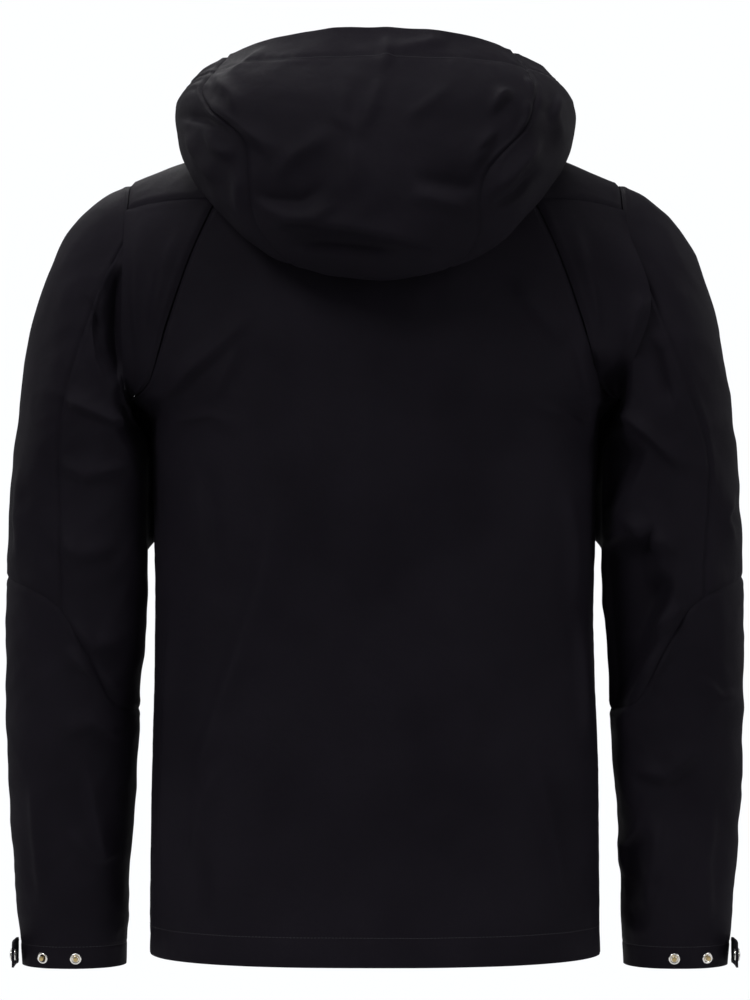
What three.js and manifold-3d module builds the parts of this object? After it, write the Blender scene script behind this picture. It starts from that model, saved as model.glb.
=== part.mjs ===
// A men's hooded hardshell jacket, held open as on a wearer. Millimetres, +Z up.
// The wearer faces -Y, and +X is the wearer's left. The origin is the centre of the neck
// opening, level with the shoulder line beside the neck.
import * as THREE from "three";
import { mergeVertices } from "three/addons/utils/BufferGeometryUtils.js";
import Module from "manifold-3d";

const wasm = await Module();
wasm.setup();

// ---- Driving dimensions ----
const PANEL = 3; // a sewn fabric panel with its seam allowance and tape
const LINING = 1.8; // one loose layer of facing or lining
const SEAM = 0.6; // each panel's edge stands back this far from its seam line
const PLY = 0.6; // between two layers of cloth
const CLEAR = 0.4; // between a fixed piece and one that slides or lies on it
const SIDE_Y = 4; // the side seams and the shoulder ridge lie in this plane

const HEM_Z = -765;
const HEM_HALF_WIDTH = 212;
const WAIST_HALF_WIDTH = 206;
const CHEST_HALF_WIDTH = 211;
const HEM_CASING = 26; // height of the turned hem
const CUFF_CASING = 24;

const ARMPIT_Z = -258; // where the side seam starts to flare into the sleeve
const ARMHOLE_X = 230; // the armhole seam lies in this plane
const ARMHOLE_LOW_Z = -247;
const UNDERARM_FLARE = 66;
const UNDERARM_RISE = 35;
const SQUARENESS = 2.4; // exponent of the body's rounded-box section

const NECK_HALF_WIDTH = 85;
const NECK_BACK_SHARE = 0.8; // depth of the neck seam as a share of the upper back's
const SHOULDER_ROUND_BACK = 95; // height over which the upper back rounds over
const SHOULDER_ROUND_NECK = 52; // the same for the chest, beside the zip
const SHOULDER_ROUND_ARM = 85; // and at the armhole

const COLLAR_TOP_HALF_WIDTH = 77;
const COLLAR_TOP_FRONT = 64;
const COLLAR_TOP_BACK = 38;
const FRONT_HEM_Y = -122; // the zip runs straight from here up to the collar
const FRONT_COLLAR_Y = -88;

const BACK_YOKE_Z = -70; // the yoke's back seam at the armhole
const FRONT_YOKE_Z = -88; // and its front seam
const YOKE_NECK_X = 70; // where the yoke's front seam meets the neck seam
const RAGLAN_TOP = new THREE.Vector2(145, -62);

const ZIP_HALF_GAP = 8.5; // half the gap between the front panels
const TAPE_SLIT = 0.8; // the two zip tapes stand this far from the middle
const TAPE_THICK = 1;
const COIL_WIDTH = 2.6;
const COIL_THICK = 2.4;
const SLIDER_PLATE = 1.5;
const SLIDER_LENGTH = 13;
const SLIDER_WEB = 0.4; // half the thickness of the slider's bridge
const PULL_THICK = 1.6;

const POCKET_LOW = new THREE.Vector2(128, -625);
const POCKET_HIGH = new THREE.Vector2(112, -455);
const POCKET_HALF_GAP = 6.5;

const CUFF_Z = -782;
const SNAP_RADIUS = 5.5;
const SNAP_POST = 2.2;
const STUDS_X = [314, 282];
const STUD_Z = -772;
const TAB_WIDTH = 24;
const TAB_LENGTH = 42;
const TAB_THICK = 1.8;
const TAB_X = 339.6; // plane of the open tab
const TAB_HINGE_Y = -26;

// ---- Small maths ----
const { lerp: mix, degToRad: radians } = THREE.MathUtils;
const clamp01 = (v) => Math.min(1, Math.max(0, v));
const smooth = (v) => clamp01(v) ** 2 * (3 - 2 * clamp01(v));
const vector = (x, y, z) => new THREE.Vector3(x, y, z);

// A smooth curve through a list of [key, value] pairs, read at a key.
function curveThrough(pairs) {
  const last = pairs.length - 1;
  const slope = (a, b) => (pairs[b][1] - pairs[a][1]) / (pairs[b][0] - pairs[a][0]);
  return (key) => {
    if (key <= pairs[0][0]) return pairs[0][1];
    if (key >= pairs[last][0]) return pairs[last][1];
    const i = pairs.findIndex((p) => p[0] >= key);
    const [k0, v0] = pairs[i - 1];
    const [k1, v1] = pairs[i];
    const span = k1 - k0;
    const m0 = slope(Math.max(0, i - 2), i) * span;
    const m1 = slope(i - 1, Math.min(last, i + 1)) * span;
    const u = (key - k0) / span;
    const value = v0 * (1 + 2 * u) * (1 - u) ** 2 + v1 * u ** 2 * (3 - 2 * u);
    return value + m0 * u * (1 - u) ** 2 - m1 * u ** 2 * (1 - u);
  };
}
// Reads a plain list at a share of its length, straight from entry to entry.
function readAlong(list, share) {
  const position = clamp01(share) * (list.length - 1);
  const i = Math.min(list.length - 2, Math.floor(position));
  return mix(list[i], list[i + 1], position - i);
}
// Spreads columns evenly round a curved side: -1..1 in, -1..1 out.
const spread = (across) => Math.sin((across * Math.PI) / 2);

// ---- The body's outer surface ----
const sideWidth = curveThrough([
  [HEM_Z, HEM_HALF_WIDTH],
  [-620, 210],
  [-460, WAIST_HALF_WIDTH],
  [-360, 208],
  [ARMPIT_Z, CHEST_HALF_WIDTH],
]);
const backDepth = curveThrough([
  [HEM_Z, 118],
  [-620, 112],
  [-480, 108],
  [-330, 118],
  [-200, 127],
  [-90, 118],
  [0, 104],
]);
// The shoulder ridge falls from the neck to the armhole. Inside the neck opening
// it is only a guide for the slope of the upper back and chest.
const OUTER_RIDGE = [
  [NECK_HALF_WIDTH, 2],
  [130, -8],
  [179, -22],
  [206, -32],
  [ARMHOLE_X, -43],
];
const backRidge = curveThrough([[0, 33], [30, 29], [60, 15.5], ...OUTER_RIDGE]);
const frontRidge = curveThrough([[0, 4], [40, 4], ...OUTER_RIDGE]);
const ridge = (x, side) => (side > 0 ? backRidge(Math.abs(x)) : frontRidge(Math.abs(x)));

const frontLine = (z) => mix(FRONT_HEM_Y, FRONT_COLLAR_Y, (z - HEM_Z) / (COLLAR_TOP_FRONT - HEM_Z));
const depthAt = (z, side) => (side > 0 ? backDepth(z) - SIDE_Y : SIDE_Y - frontLine(z));

function halfWidth(z) {
  const flare = z > ARMPIT_Z ? 1 - Math.exp(-(z - ARMPIT_Z) / UNDERARM_RISE) : 0;
  return sideWidth(z) + UNDERARM_FLARE * flare;
}
const bulge = (x, z) => (1 - Math.min(1, Math.abs(x) / halfWidth(z)) ** SQUARENESS) ** (1 / SQUARENESS);

// Height over which the shoulder rounds over, at x.
function roundHeight(x, side) {
  if (side > 0) return SHOULDER_ROUND_BACK;
  return mix(SHOULDER_ROUND_NECK, SHOULDER_ROUND_ARM, smooth(Math.abs(x) / ARMHOLE_X));
}
// Angle of turn from the ridge down to the height z.
const turnAt = (x, z, side) => Math.acos(1 - clamp01((ridge(x, side) - z) / roundHeight(x, side)));

// Point of the body at x and height z, on the back (side 1) or the front (side -1).
function bodyPoint(x, z, side) {
  const share = Math.sin(turnAt(x, z, side)) * bulge(x, z);
  return vector(x, SIDE_Y + side * depthAt(z, side) * share, z);
}
// Point of the body at x and an angle of turn from the shoulder ridge.
function turnPoint(x, turn, side) {
  const z = ridge(x, side) - roundHeight(x, side) * (1 - Math.cos(turn));
  return vector(x, SIDE_Y + side * depthAt(z, side) * bulge(x, z) * Math.sin(turn), z);
}
// Keeps a panel's edge back from the side seam.
function keepToSide(point, side) {
  point.y = side > 0 ? Math.max(point.y, SIDE_Y + SEAM) : Math.min(point.y, SIDE_Y - SEAM);
  return point;
}

// ---- Seam lines ----
// Neck seam: w runs from 0 at the centre back through a quarter turn to half a turn at
// the centre front.
const FRONT_SQUARE = 1.02; // the neck seam runs straight across at the zip
function neckTurn(w) {
  const share = w < Math.PI / 2 ? NECK_BACK_SHARE * Math.cos(w) : -FRONT_SQUARE * Math.cos(w);
  return Math.asin(clamp01(share));
}
const neckPoint = (w) =>
  turnPoint(NECK_HALF_WIDTH * Math.sin(w), neckTurn(Math.abs(w)), Math.abs(w) < Math.PI / 2 ? 1 : -1);

// The raglan seam's distance from the centre back, below the yoke.
const raglan = curveThrough([
  [ARMHOLE_LOW_Z, ARMHOLE_X],
  [-241, 218],
  [-230, 208],
  [-176, 191],
  [-112, 168],
  [RAGLAN_TOP.y, RAGLAN_TOP.x],
]);
// Above that the seam runs up to the neck: k goes from 0 to 1.
const RAGLAN_TURN = turnAt(RAGLAN_TOP.x, RAGLAN_TOP.y, 1);
const raglanUpper = (k, shift) =>
  turnPoint(mix(RAGLAN_TOP.x, NECK_HALF_WIDTH, k) + shift, RAGLAN_TURN * (1 - k), 1);

const YOKE_EDGE_X = ARMHOLE_X - SEAM;
const BACK_YOKE_TURN = turnAt(YOKE_EDGE_X, BACK_YOKE_Z, 1);
const FRONT_YOKE_TURN = turnAt(YOKE_EDGE_X, FRONT_YOKE_Z, -1);
const YOKE_NECK_W = Math.PI - Math.asin(YOKE_NECK_X / NECK_HALF_WIDTH);
const yokeShare = (x, from) => clamp01((x - from) / (YOKE_EDGE_X - from));
const backYokeTurn = (x) => mix(RAGLAN_TURN, BACK_YOKE_TURN, yokeShare(x, RAGLAN_TOP.x));
const frontYokeTurn = (x) => mix(neckTurn(YOKE_NECK_W), FRONT_YOKE_TURN, yokeShare(x, YOKE_NECK_X));
const TURN_GAP = 0.012; // keeps the panels on both sides of a yoke seam apart

// ---- The left sleeve's outer surface ----
// Outer and inner edge [x, z] of each section from the armhole to the cuff, with the
// section's middle and half-depth in y.
const SLEEVE = [
  { outer: [ARMHOLE_X, -43], inner: [ARMHOLE_X, ARMHOLE_LOW_Z], y: 11, depth: 72 },
  { outer: [256, -56.5], inner: [229.5, -258], y: 10, depth: 73 },
  { outer: [289, -90.5], inner: [223, -271], y: 8, depth: 74 },
  { outer: [311, -136], inner: [217.5, -288], y: 6, depth: 75 },
  { outer: [327, -198], inner: [215, -312], y: 4, depth: 74 },
  { outer: [340, -293], inner: [214.5, -360], y: 1, depth: 70 },
  { outer: [347, -420], inner: [216, -430], y: -4, depth: 65 },
  { outer: [348.5, -529], inner: [223, -529], y: -11, depth: 59 },
  { outer: [346.5, -623], inner: [229, -623], y: -19, depth: 53 },
  { outer: [341, -718], inner: [235, -718], y: -28, depth: 46 },
  { outer: [336.5, CUFF_Z], inner: [237.5, CUFF_Z], y: -34, depth: 41 },
];
const SLEEVE_END = SLEEVE.length - 1;
const SLEEVE_SQUARENESS = 2.2;
const RING_FADE = 3; // the armhole's own shape has faded out this many sections down
const alongSleeve = (pick) => curveThrough(SLEEVE.map((section, i) => [i, pick(section)]));
const outerX = alongSleeve((s) => s.outer[0]);
const outerZ = alongSleeve((s) => s.outer[1]);
const innerX = alongSleeve((s) => s.inner[0]);
const innerZ = alongSleeve((s) => s.inner[1]);
const sleeveY = alongSleeve((s) => s.y);
const sleeveDepth = alongSleeve((s) => s.depth);

// t counts sections; phi runs from the outer edge through the back to the inner edge.
function sleevePoint(t, phi) {
  const reach = (Math.cos(phi) + 1) / 2;
  const side = Math.sin(phi) < 0 ? -1 : 1;
  const round = (1 - Math.abs(Math.cos(phi)) ** SLEEVE_SQUARENESS) ** (1 / SLEEVE_SQUARENESS);
  const oval = sleeveY(t) + side * sleeveDepth(t) * round;
  const ringZ = mix(ARMHOLE_LOW_Z, backRidge(ARMHOLE_X), reach);
  const ring = bodyPoint(ARMHOLE_X, ringZ, side).y;
  return vector(
    mix(innerX(t), outerX(t), reach),
    mix(ring, oval, smooth(t / RING_FADE)),
    mix(innerZ(t), outerZ(t), reach),
  );
}
// Height of the elbow seam: it falls from the outer edge to the inner edge.
const elbowSeam = curveThrough([
  [216, -540],
  [245, -527],
  [268, -482],
  [295, -438],
  [347, -412],
]);
function elbowSection(phi) {
  let above = 4;
  let below = 9;
  for (let i = 0; i < 24; i++) {
    const middle = (above + below) / 2;
    const p = sleevePoint(middle, phi);
    if (p.z > elbowSeam(p.x)) above = middle;
    else below = middle;
  }
  return above;
}
const ELBOW_GAP = 0.014; // sections, on each side of the elbow seam
const SLEEVE_SEAM = radians(82); // the sleeve's back and front seams

// ---- The hood's outer surface, thrown back on the shoulders ----
// Each row runs from the centre back round the left side to the chin.
const HOOD_ROWS = [
  // seam at the neck
  [[0, 93, 6], [52, 78, 5], [76, 52, 5], [90, 24, 6], [91, 2, 9], [86, -30, 9], [72, -58, 6]],
  // underside, over the shoulders
  [[0, 133, -78], [78, 120, -68], [116, 92, -38], [134, 52, -7], [136, 8, 4], [115, -36, 12], [74, -60, 12]],
  // lowest fold
  [[0, 160, -143], [88, 152, -123], [140, 120, -77], [169, 74, -35], [173, 10, -10], [140, -42, 8], [76, -63, 18]],
  // bowl
  [[0, 203, -92], [108, 188, -74], [160, 140, -37], [181, 80, -4], [183, 10, 10], [150, -44, 20], [79, -66, 26]],
  [[0, 196, 6], [112, 178, 12], [164, 130, 22], [182, 70, 28], [182, 4, 34], [146, -48, 36], [77, -66, 38]],
  // brim
  [[0, 138, 87], [84, 122, 81], [138, 88, 66], [165, 44, 54], [166, -8, 50], [130, -50, 47], [70, -62, 50]],
];
const HOOD_STATIONS = HOOD_ROWS[0].length - 1;
const HOOD_LEVELS = HOOD_ROWS.length - 1;
const HOOD_GAP = 0.01; // stations, on each side of the hood's side seams
const BRIM_CASING = 0.28; // levels, below the brim
// Half-width of the hood's centre panel, in stations, from the seam to the brim.
const hoodCentre = curveThrough([
  [0, 0.55],
  [2, 0.7],
  [3, 1.05],
  [4, 1.25],
  [HOOD_LEVELS, 1.75],
]);
// u counts stations, negative on the wearer's right; v counts levels up from the seam.
function hoodPoint(u, v) {
  const across = Math.abs(u);
  const along = (row, axis) => {
    const beyond = [-1, axis === 0 ? -row[1][0] : row[1][axis]];
    return curveThrough([beyond, ...row.map((p, i) => [i, p[axis]])])(across);
  };
  const at = (axis) => curveThrough(HOOD_ROWS.map((row, i) => [i, along(row, axis)]))(v);
  return vector(Math.sign(u) * at(0), at(1), at(2));
}

// ---- Making cloth from a surface ----
// A closed sheet under the surface at(s, t), s and t from 0 to 1. inward is 1 where s
// crossed with t points outwards and -1 where it points inwards. depth, a number or a
// function of s and t, sinks the sheet below the surface.
function cloth(at, sSteps, tSteps, inward, { thick = PANEL, depth = 0, tube = false } = {}) {
  const columns = tube ? sSteps : sSteps + 1;
  const vertices = [];
  for (const layer of [0, thick]) {
    for (let j = 0; j <= tSteps; j++) {
      for (let i = 0; i < columns; i++) {
        const s = i / sSteps;
        const t = j / tSteps;
        const sunk = (typeof depth === "function" ? depth(s, t) : depth) + layer;
        const normal = surfaceNormal(at, s, t, tube);
        vertices.push(...at(s, t).addScaledVector(normal, -sunk * inward));
      }
    }
  }
  const layerSize = columns * (tSteps + 1);
  const index = (i, j, layer) => layer * layerSize + j * columns + (tube ? i % columns : i);
  const faces = [];
  const quad = (a, b, c, d) => faces.push(a, b, c, a, c, d);
  for (let j = 0; j < tSteps; j++) {
    for (let i = 0; i < sSteps; i++) {
      quad(index(i, j, 0), index(i + 1, j, 0), index(i + 1, j + 1, 0), index(i, j + 1, 0));
      quad(index(i, j, 1), index(i, j + 1, 1), index(i + 1, j + 1, 1), index(i + 1, j, 1));
    }
    if (tube) continue;
    quad(index(0, j, 0), index(0, j + 1, 0), index(0, j + 1, 1), index(0, j, 1));
    quad(index(sSteps, j, 1), index(sSteps, j + 1, 1), index(sSteps, j + 1, 0), index(sSteps, j, 0));
  }
  for (let i = 0; i < sSteps; i++) {
    quad(index(i, 0, 0), index(i, 0, 1), index(i + 1, 0, 1), index(i + 1, 0, 0));
    quad(index(i, tSteps, 1), index(i, tSteps, 0), index(i + 1, tSteps, 0), index(i + 1, tSteps, 1));
  }
  const geometry = new THREE.BufferGeometry();
  geometry.setAttribute("position", new THREE.Float32BufferAttribute(vertices, 3));
  geometry.setIndex(inward > 0 ? faces : turnedFaces(faces));
  return geometry;
}
function surfaceNormal(at, s, t, tube = false) {
  const step = 1e-3;
  const s0 = tube ? s - step : Math.max(0, s - step);
  const s1 = tube ? s + step : Math.min(1, s + step);
  const alongS = at(s1, t).sub(at(s0, t));
  const alongT = at(s, Math.min(1, t + step)).sub(at(s, Math.max(0, t - step)));
  return alongS.cross(alongT).normalize();
}
function turnedFaces(faces) {
  const turned = [];
  for (let i = 0; i < faces.length; i += 3) turned.push(faces[i], faces[i + 2], faces[i + 1]);
  return turned;
}

// ---- Booleans and plain solids ----
function toSolid(geometry) {
  const bare = geometry.clone();
  bare.deleteAttribute("normal");
  bare.deleteAttribute("uv");
  const merged = mergeVertices(bare, 1e-4);
  return new wasm.Manifold(
    new wasm.Mesh({
      numProp: 3,
      vertProperties: merged.attributes.position.array,
      triVerts: new Uint32Array(merged.index.array),
    }),
  );
}
function toGeometry(solid) {
  const mesh = solid.getMesh();
  const geometry = new THREE.BufferGeometry();
  geometry.setAttribute("position", new THREE.BufferAttribute(mesh.vertProperties, 3));
  geometry.setIndex(new THREE.BufferAttribute(mesh.triVerts, 1));
  geometry.computeVertexNormals();
  return geometry;
}
const union = (...geometries) =>
  toGeometry(geometries.map(toSolid).reduce((whole, piece) => whole.add(piece)));
const cut = (geometry, ...tools) =>
  toGeometry(tools.map(toSolid).reduce((whole, tool) => whole.subtract(tool), toSolid(geometry)));
// A box given by its lowest and highest corners.
function box([x0, y0, z0], [x1, y1, z1]) {
  const solid = new THREE.BoxGeometry(x1 - x0, y1 - y0, z1 - z0);
  return solid.translate((x0 + x1) / 2, (y0 + y1) / 2, (z0 + z1) / 2);
}
// A solid turned round +Z from its [radius, height] outline, drawn anticlockwise.
const turnedSolid = (outline, sides = 16) => toGeometry(new wasm.CrossSection(outline).revolve(sides));
const washer = (outer, inner, height) =>
  turnedSolid([
    [inner, 0],
    [outer, 0],
    [outer, height],
    [inner, height],
  ]);
// Stands a solid made round +Z on a point, facing along a direction.
function stand(geometry, point, facing) {
  const turn = new THREE.Quaternion().setFromUnitVectors(vector(0, 0, 1), facing);
  return geometry.applyQuaternion(turn).translate(point.x, point.y, point.z);
}

// ---- Materials and naming ----
const material = (color, roughness, metalness = 0) =>
  new THREE.MeshStandardMaterial({ color, roughness, metalness });
const SHELL = material(0x131217, 0.72);
const FACING = material(0x17171b, 0.85);
const FLEECE = material(0x1a1a1d, 0.95);
const TAPE = material(0x0e0e10, 0.5);
const COIL = material(0x101012, 0.45);
const PULLER = material(0x1b1b1e, 0.4, 0.2);
const STEEL = material(0xa8a5a0, 0.3, 1);

const jacket = new THREE.Group();
function place(name, geometry, look, parent = jacket) {
  const mesh = new THREE.Mesh(geometry, look);
  mesh.name = name;
  parent.add(mesh);
}
// The piece as made for the wearer's left, and its mirror image on the right.
function placePair(name, geometry, look) {
  place(`${name}_left`, geometry, look);
  const mirror = toGeometry(toSolid(geometry).mirror([1, 0, 0]));
  place(`${name}_right`, mirror, look);
}

// ---- Body panels ----
const BACK_ROWS = [HEM_Z, -690, -600, -500, -400, -320, -280, ARMPIT_Z, -247.5, -243, -238, -228, -190, -150, -105];
const NECK_ROWS = 4;
const BACK_COLUMNS = 16;
const TOP_BACK_ROW = BACK_ROWS.length;
const backEdge = (z) => (z < ARMHOLE_LOW_Z ? halfWidth(z) : raglan(z) - SEAM);

function backPanelPoint(s, t) {
  const across = spread(2 * s - 1);
  const level = t * (TOP_BACK_ROW + NECK_ROWS);
  if (level <= TOP_BACK_ROW) {
    const z = readAlong([...BACK_ROWS, RAGLAN_TOP.y], level / TOP_BACK_ROW);
    return keepToSide(bodyPoint(across * backEdge(z), z, 1), 1);
  }
  const k = (level - TOP_BACK_ROW) / NECK_ROWS;
  const low = turnAt(across * RAGLAN_TOP.x, RAGLAN_TOP.y, 1);
  const high = neckTurn(Math.asin(Math.abs(across))) + TURN_GAP / 2;
  return turnPoint(across * raglanUpper(k, -SEAM).x, mix(low, high, k), 1);
}

// The wedge between the raglan seam and the armhole, under the back yoke.
const GUSSET_ROWS = [-243, -238, -228, -190, -150, -105];
function gussetPoint(s, t) {
  const level = t * GUSSET_ROWS.length;
  const top = GUSSET_ROWS.length - 1;
  const low = readAlong(GUSSET_ROWS, Math.min(level, top) / top);
  const x = mix(raglan(low) + 2 * SEAM, YOKE_EDGE_X, s);
  if (level <= top) return bodyPoint(x, low, 1);
  const seamX = mix(RAGLAN_TOP.x + 2 * SEAM, YOKE_EDGE_X, s);
  const seamZ = turnPoint(seamX, backYokeTurn(seamX) + 2 * TURN_GAP, 1).z;
  return bodyPoint(mix(x, seamX, level - top), mix(GUSSET_ROWS[top], seamZ, level - top), 1);
}

const FRONT_ROWS = [HEM_Z, -680, -600, -520, -440, -350, -290, ARMPIT_Z, -247.5, -243, -236];
const FRONT_UPPER_ROWS = 6;
const YOKE_COLUMN = (YOKE_NECK_X - ZIP_HALF_GAP) / (YOKE_EDGE_X - ZIP_HALF_GAP);
const FRONT_COLUMNS = [0, 0.14, YOKE_COLUMN, 0.44, 0.6, 0.74, 0.86, 0.94, 0.985, 1];
const frontEdge = (z) => (z < ARMHOLE_LOW_Z ? halfWidth(z) : YOKE_EDGE_X);
function frontTopTurn(x) {
  if (x > YOKE_NECK_X) return frontYokeTurn(x) + TURN_GAP;
  return Math.min(Math.PI / 2, neckTurn(Math.PI - Math.asin(x / NECK_HALF_WIDTH)) + TURN_GAP);
}
function frontPanelPoint(s, t) {
  const share = readAlong(FRONT_COLUMNS, s);
  const rows = FRONT_ROWS.length - 1;
  const level = t * (rows + FRONT_UPPER_ROWS);
  const z = readAlong(FRONT_ROWS, level / rows);
  const x = mix(ZIP_HALF_GAP, frontEdge(z), share);
  if (level <= rows) return keepToSide(bodyPoint(x, z, -1), -1);
  const up = (level - rows) / FRONT_UPPER_ROWS;
  const top = turnPoint(x, frontTopTurn(x), -1);
  return bodyPoint(x, mix(z, top.z, up), -1);
}

// The yoke crosses the shoulder: t runs from the back seam over the ridge to the front.
function yokePoint(s, t) {
  if (t <= 0.5) {
    const k = 2 * t;
    const inner = raglanUpper(k, 1.5 * SEAM).x;
    const x = mix(inner, YOKE_EDGE_X, s);
    const edge = mix(RAGLAN_TURN, BACK_YOKE_TURN, s) - TURN_GAP * s;
    return turnPoint(x, edge * (1 - k), 1);
  }
  const m = 2 * t - 1;
  const w = mix(Math.PI / 2, YOKE_NECK_W, m);
  const x = mix(NECK_HALF_WIDTH * Math.sin(w) + SEAM, YOKE_EDGE_X, s);
  return turnPoint(x, mix(neckTurn(w), FRONT_YOKE_TURN * m, s) - TURN_GAP * m, -1);
}

// Inside the hem, all round from the left of the zip to the right of it, in the columns
// of the panels it lies against, as shares of the half width.
const HEM_FACING_SHARE = 0.1;
const frontShares = [HEM_FACING_SHARE, ...FRONT_COLUMNS.slice(1)];
const backShares = Array.from({ length: BACK_COLUMNS + 1 }, (_, i) => -spread((2 * i) / BACK_COLUMNS - 1));
const HEM_SHARES = [...frontShares, ...backShares, ...frontShares.map((share) => -share).reverse()];
function hemPoint(s, z) {
  const column = s * (HEM_SHARES.length - 1);
  const share = readAlong(HEM_SHARES, s);
  const side = Math.abs(column - (HEM_SHARES.length - 1) / 2) < (BACK_COLUMNS + 1) / 2 ? 1 : -1;
  const frontX = Math.sign(share) * mix(ZIP_HALF_GAP, halfWidth(z), Math.abs(share));
  return keepToSide(bodyPoint(side > 0 ? share * halfWidth(z) : frontX, z, side), side);
}

const FABRIC = { thick: LINING, depth: PANEL + PLY };
place("back_panel", cloth(backPanelPoint, BACK_COLUMNS, TOP_BACK_ROW + NECK_ROWS, -1), SHELL);
placePair("back_gusset", cloth(gussetPoint, 5, GUSSET_ROWS.length, -1), SHELL);
placePair("shoulder_yoke", cloth(yokePoint, 6, 8, -1), SHELL);
const hemFacingPoint = (s, t) => hemPoint(s, mix(HEM_Z + SEAM, HEM_Z + HEM_CASING, t));
place("hem_facing", cloth(hemFacingPoint, HEM_SHARES.length - 1, 1, 1, FABRIC), FACING);

// ---- Collar ----
// w as for the neck seam, negative on the right; t runs up the collar.
function collarPoint(w, t) {
  const low = neckPoint(w);
  const facing = Math.cos(w) < 0 ? -1 : 1;
  const topX = COLLAR_TOP_HALF_WIDTH * Math.sin(w);
  const topZ = mix(COLLAR_TOP_BACK, COLLAR_TOP_FRONT, (1 - Math.cos(w)) / 2);
  const topShare = (1 - Math.abs(Math.sin(w)) ** SQUARENESS) ** (1 / SQUARENESS);
  const topDepth = facing > 0 ? 74 : SIDE_Y - frontLine(topZ);
  const high = vector(topX, SIDE_Y + facing * topDepth * topShare, topZ);
  return low.lerp(high, t);
}
// Angle at which the collar reaches a distance x from the middle of the front.
const collarEnd = (x, t) => Math.PI - Math.asin(x / mix(NECK_HALF_WIDTH, COLLAR_TOP_HALF_WIDTH, t));
function collarSheet(x, low, high, options) {
  const at = (s, t) => {
    const up = mix(low, high, t);
    return collarPoint(mix(-1, 1, s) * collarEnd(x, up), up);
  };
  return cloth(at, 24, 3, -1, options);
}
const COLLAR_FACING_X = 20.5;
place("collar", collarSheet(ZIP_HALF_GAP, 0.05, 1), SHELL);
const COLLAR_PLY = 1.8; // the two layers' columns do not line up
const COLLAR_FABRIC = { thick: LINING, depth: PANEL + COLLAR_PLY };
place("collar_lining", collarSheet(COLLAR_FACING_X, 0.06, 0.985, COLLAR_FABRIC), FLEECE);
const chinPoint = (s, t) => {
  const up = mix(0.55, 0.96, t);
  return collarPoint(mix(collarEnd(52, up), collarEnd(22, up), s), up);
};
const CHIN_DEPTH = PANEL + LINING + 2 * COLLAR_PLY;
place("chin_guard", cloth(chinPoint, 5, 2, -1, { thick: LINING, depth: CHIN_DEPTH }), FLEECE);

// A hanging loop of flat tape inside the back of the neck; its top hangs on the peg.
const LOOP = { topHalf: 18, footHalf: 28, topZ: 14, footZ: 2, y: 61, width: 6, thick: 1.2 };
function hangerLoop() {
  const { topHalf, footHalf, topZ, footZ, y, width, thick } = LOOP;
  const outline = [
    [-footHalf, footZ],
    [-topHalf, topZ],
    [topHalf, topZ],
    [footHalf, footZ],
    [footHalf + thick * 1.5, footZ],
    [topHalf + thick * 0.6, topZ + thick],
    [-topHalf - thick * 0.6, topZ + thick],
    [-footHalf - thick * 1.5, footZ],
  ];
  const shape = new THREE.Shape(outline.map(([x, z]) => new THREE.Vector2(x, z)));
  const band = new THREE.ExtrudeGeometry(shape, { depth: width, bevelEnabled: false });
  band.rotateX(Math.PI / 2).translate(0, y + width, 0);
  const foot = (x) => box([x - 2.4, y + 1, footZ - 0.8], [x + 2.4, y + width + 2.4, footZ + 0.6]);
  const middle = footHalf + thick * 0.75;
  return union(band, foot(middle), foot(-middle));
}
place("hanger_loop", hangerLoop(), TAPE);

// ---- Zips ----
// Made upright round x = 0, with +Z along the zip and +Y inwards; depth 0 is the
// front face of the tape.
function zipTape(length, width) {
  return box([TAPE_SLIT, 0, 0], [width, TAPE_THICK, length]);
}
function zipCoil(from, to) {
  const front = TAPE_THICK + CLEAR;
  return box([TAPE_SLIT, front, from], [TAPE_SLIT + COIL_WIDTH, front + COIL_THICK, to]);
}
// The slider's two plates, joined by a bridge in the slit, with an eye for the pull.
const PLATE_BACK = TAPE_THICK + 2 * CLEAR + COIL_THICK;
const EYE_HEIGHT = 2.6; // the main pull's pivot stands this far in front of the plate
const POCKET_EYE_HEIGHT = 4.6; // a pocket's pull clears the panel below its slot
const EYE_WIDTH = 1.6;
const EYE_BORE = 0.8;
function slider(halfWide, eyeHeight) {
  const front = -CLEAR - SLIDER_PLATE;
  const plate = (y) => box([-halfWide, y, 0], [halfWide, y + SLIDER_PLATE, SLIDER_LENGTH]);
  const bridge = box([-SLIDER_WEB, front + 0.2, 4], [SLIDER_WEB, PLATE_BACK + 0.2, SLIDER_LENGTH - 1]);
  const pivotY = front - eyeHeight;
  const eye = box([-EYE_WIDTH, pivotY - 1.7, 7], [EYE_WIDTH, front + 0.2, 11]);
  const bore = new THREE.CylinderGeometry(EYE_BORE, EYE_BORE, 10, 12);
  bore.rotateZ(Math.PI / 2).translate(0, pivotY, 9);
  return cut(union(plate(front), plate(PLATE_BACK), bridge, eye), bore);
}
// The pull: a fork round the eye with a pin through it, and a flat tongue hanging down.
function sliderPull(length, halfWide, eyeHeight) {
  const pivotY = -CLEAR - SLIDER_PLATE - eyeHeight;
  const half = PULL_THICK / 2;
  const arm = (x) => box([x, pivotY - half, 3], [x + 1.4, pivotY + half, 10.2]);
  const inner = EYE_WIDTH + CLEAR;
  const tongue = box([-halfWide, pivotY - half, 4 - length], [halfWide, pivotY + half, 4]);
  const pin = new THREE.CylinderGeometry(EYE_BORE - CLEAR, EYE_BORE - CLEAR, 2 * inner + 1, 12);
  pin.rotateZ(Math.PI / 2).translate(0, pivotY, 9);
  return union(arm(inner), arm(-inner - 1.4), tongue, pin);
}
// Brings a solid made upright into place: from runs to along, and back points inwards.
function lay(geometry, from, along, back) {
  const z = along.clone().sub(from).normalize();
  const x = back.clone().cross(z).normalize();
  const y = z.clone().cross(x);
  return geometry.applyMatrix4(new THREE.Matrix4().makeBasis(x, y, z).setPosition(from));
}
const mirrored = (geometry) => toGeometry(toSolid(geometry).mirror([1, 0, 0]));

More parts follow.
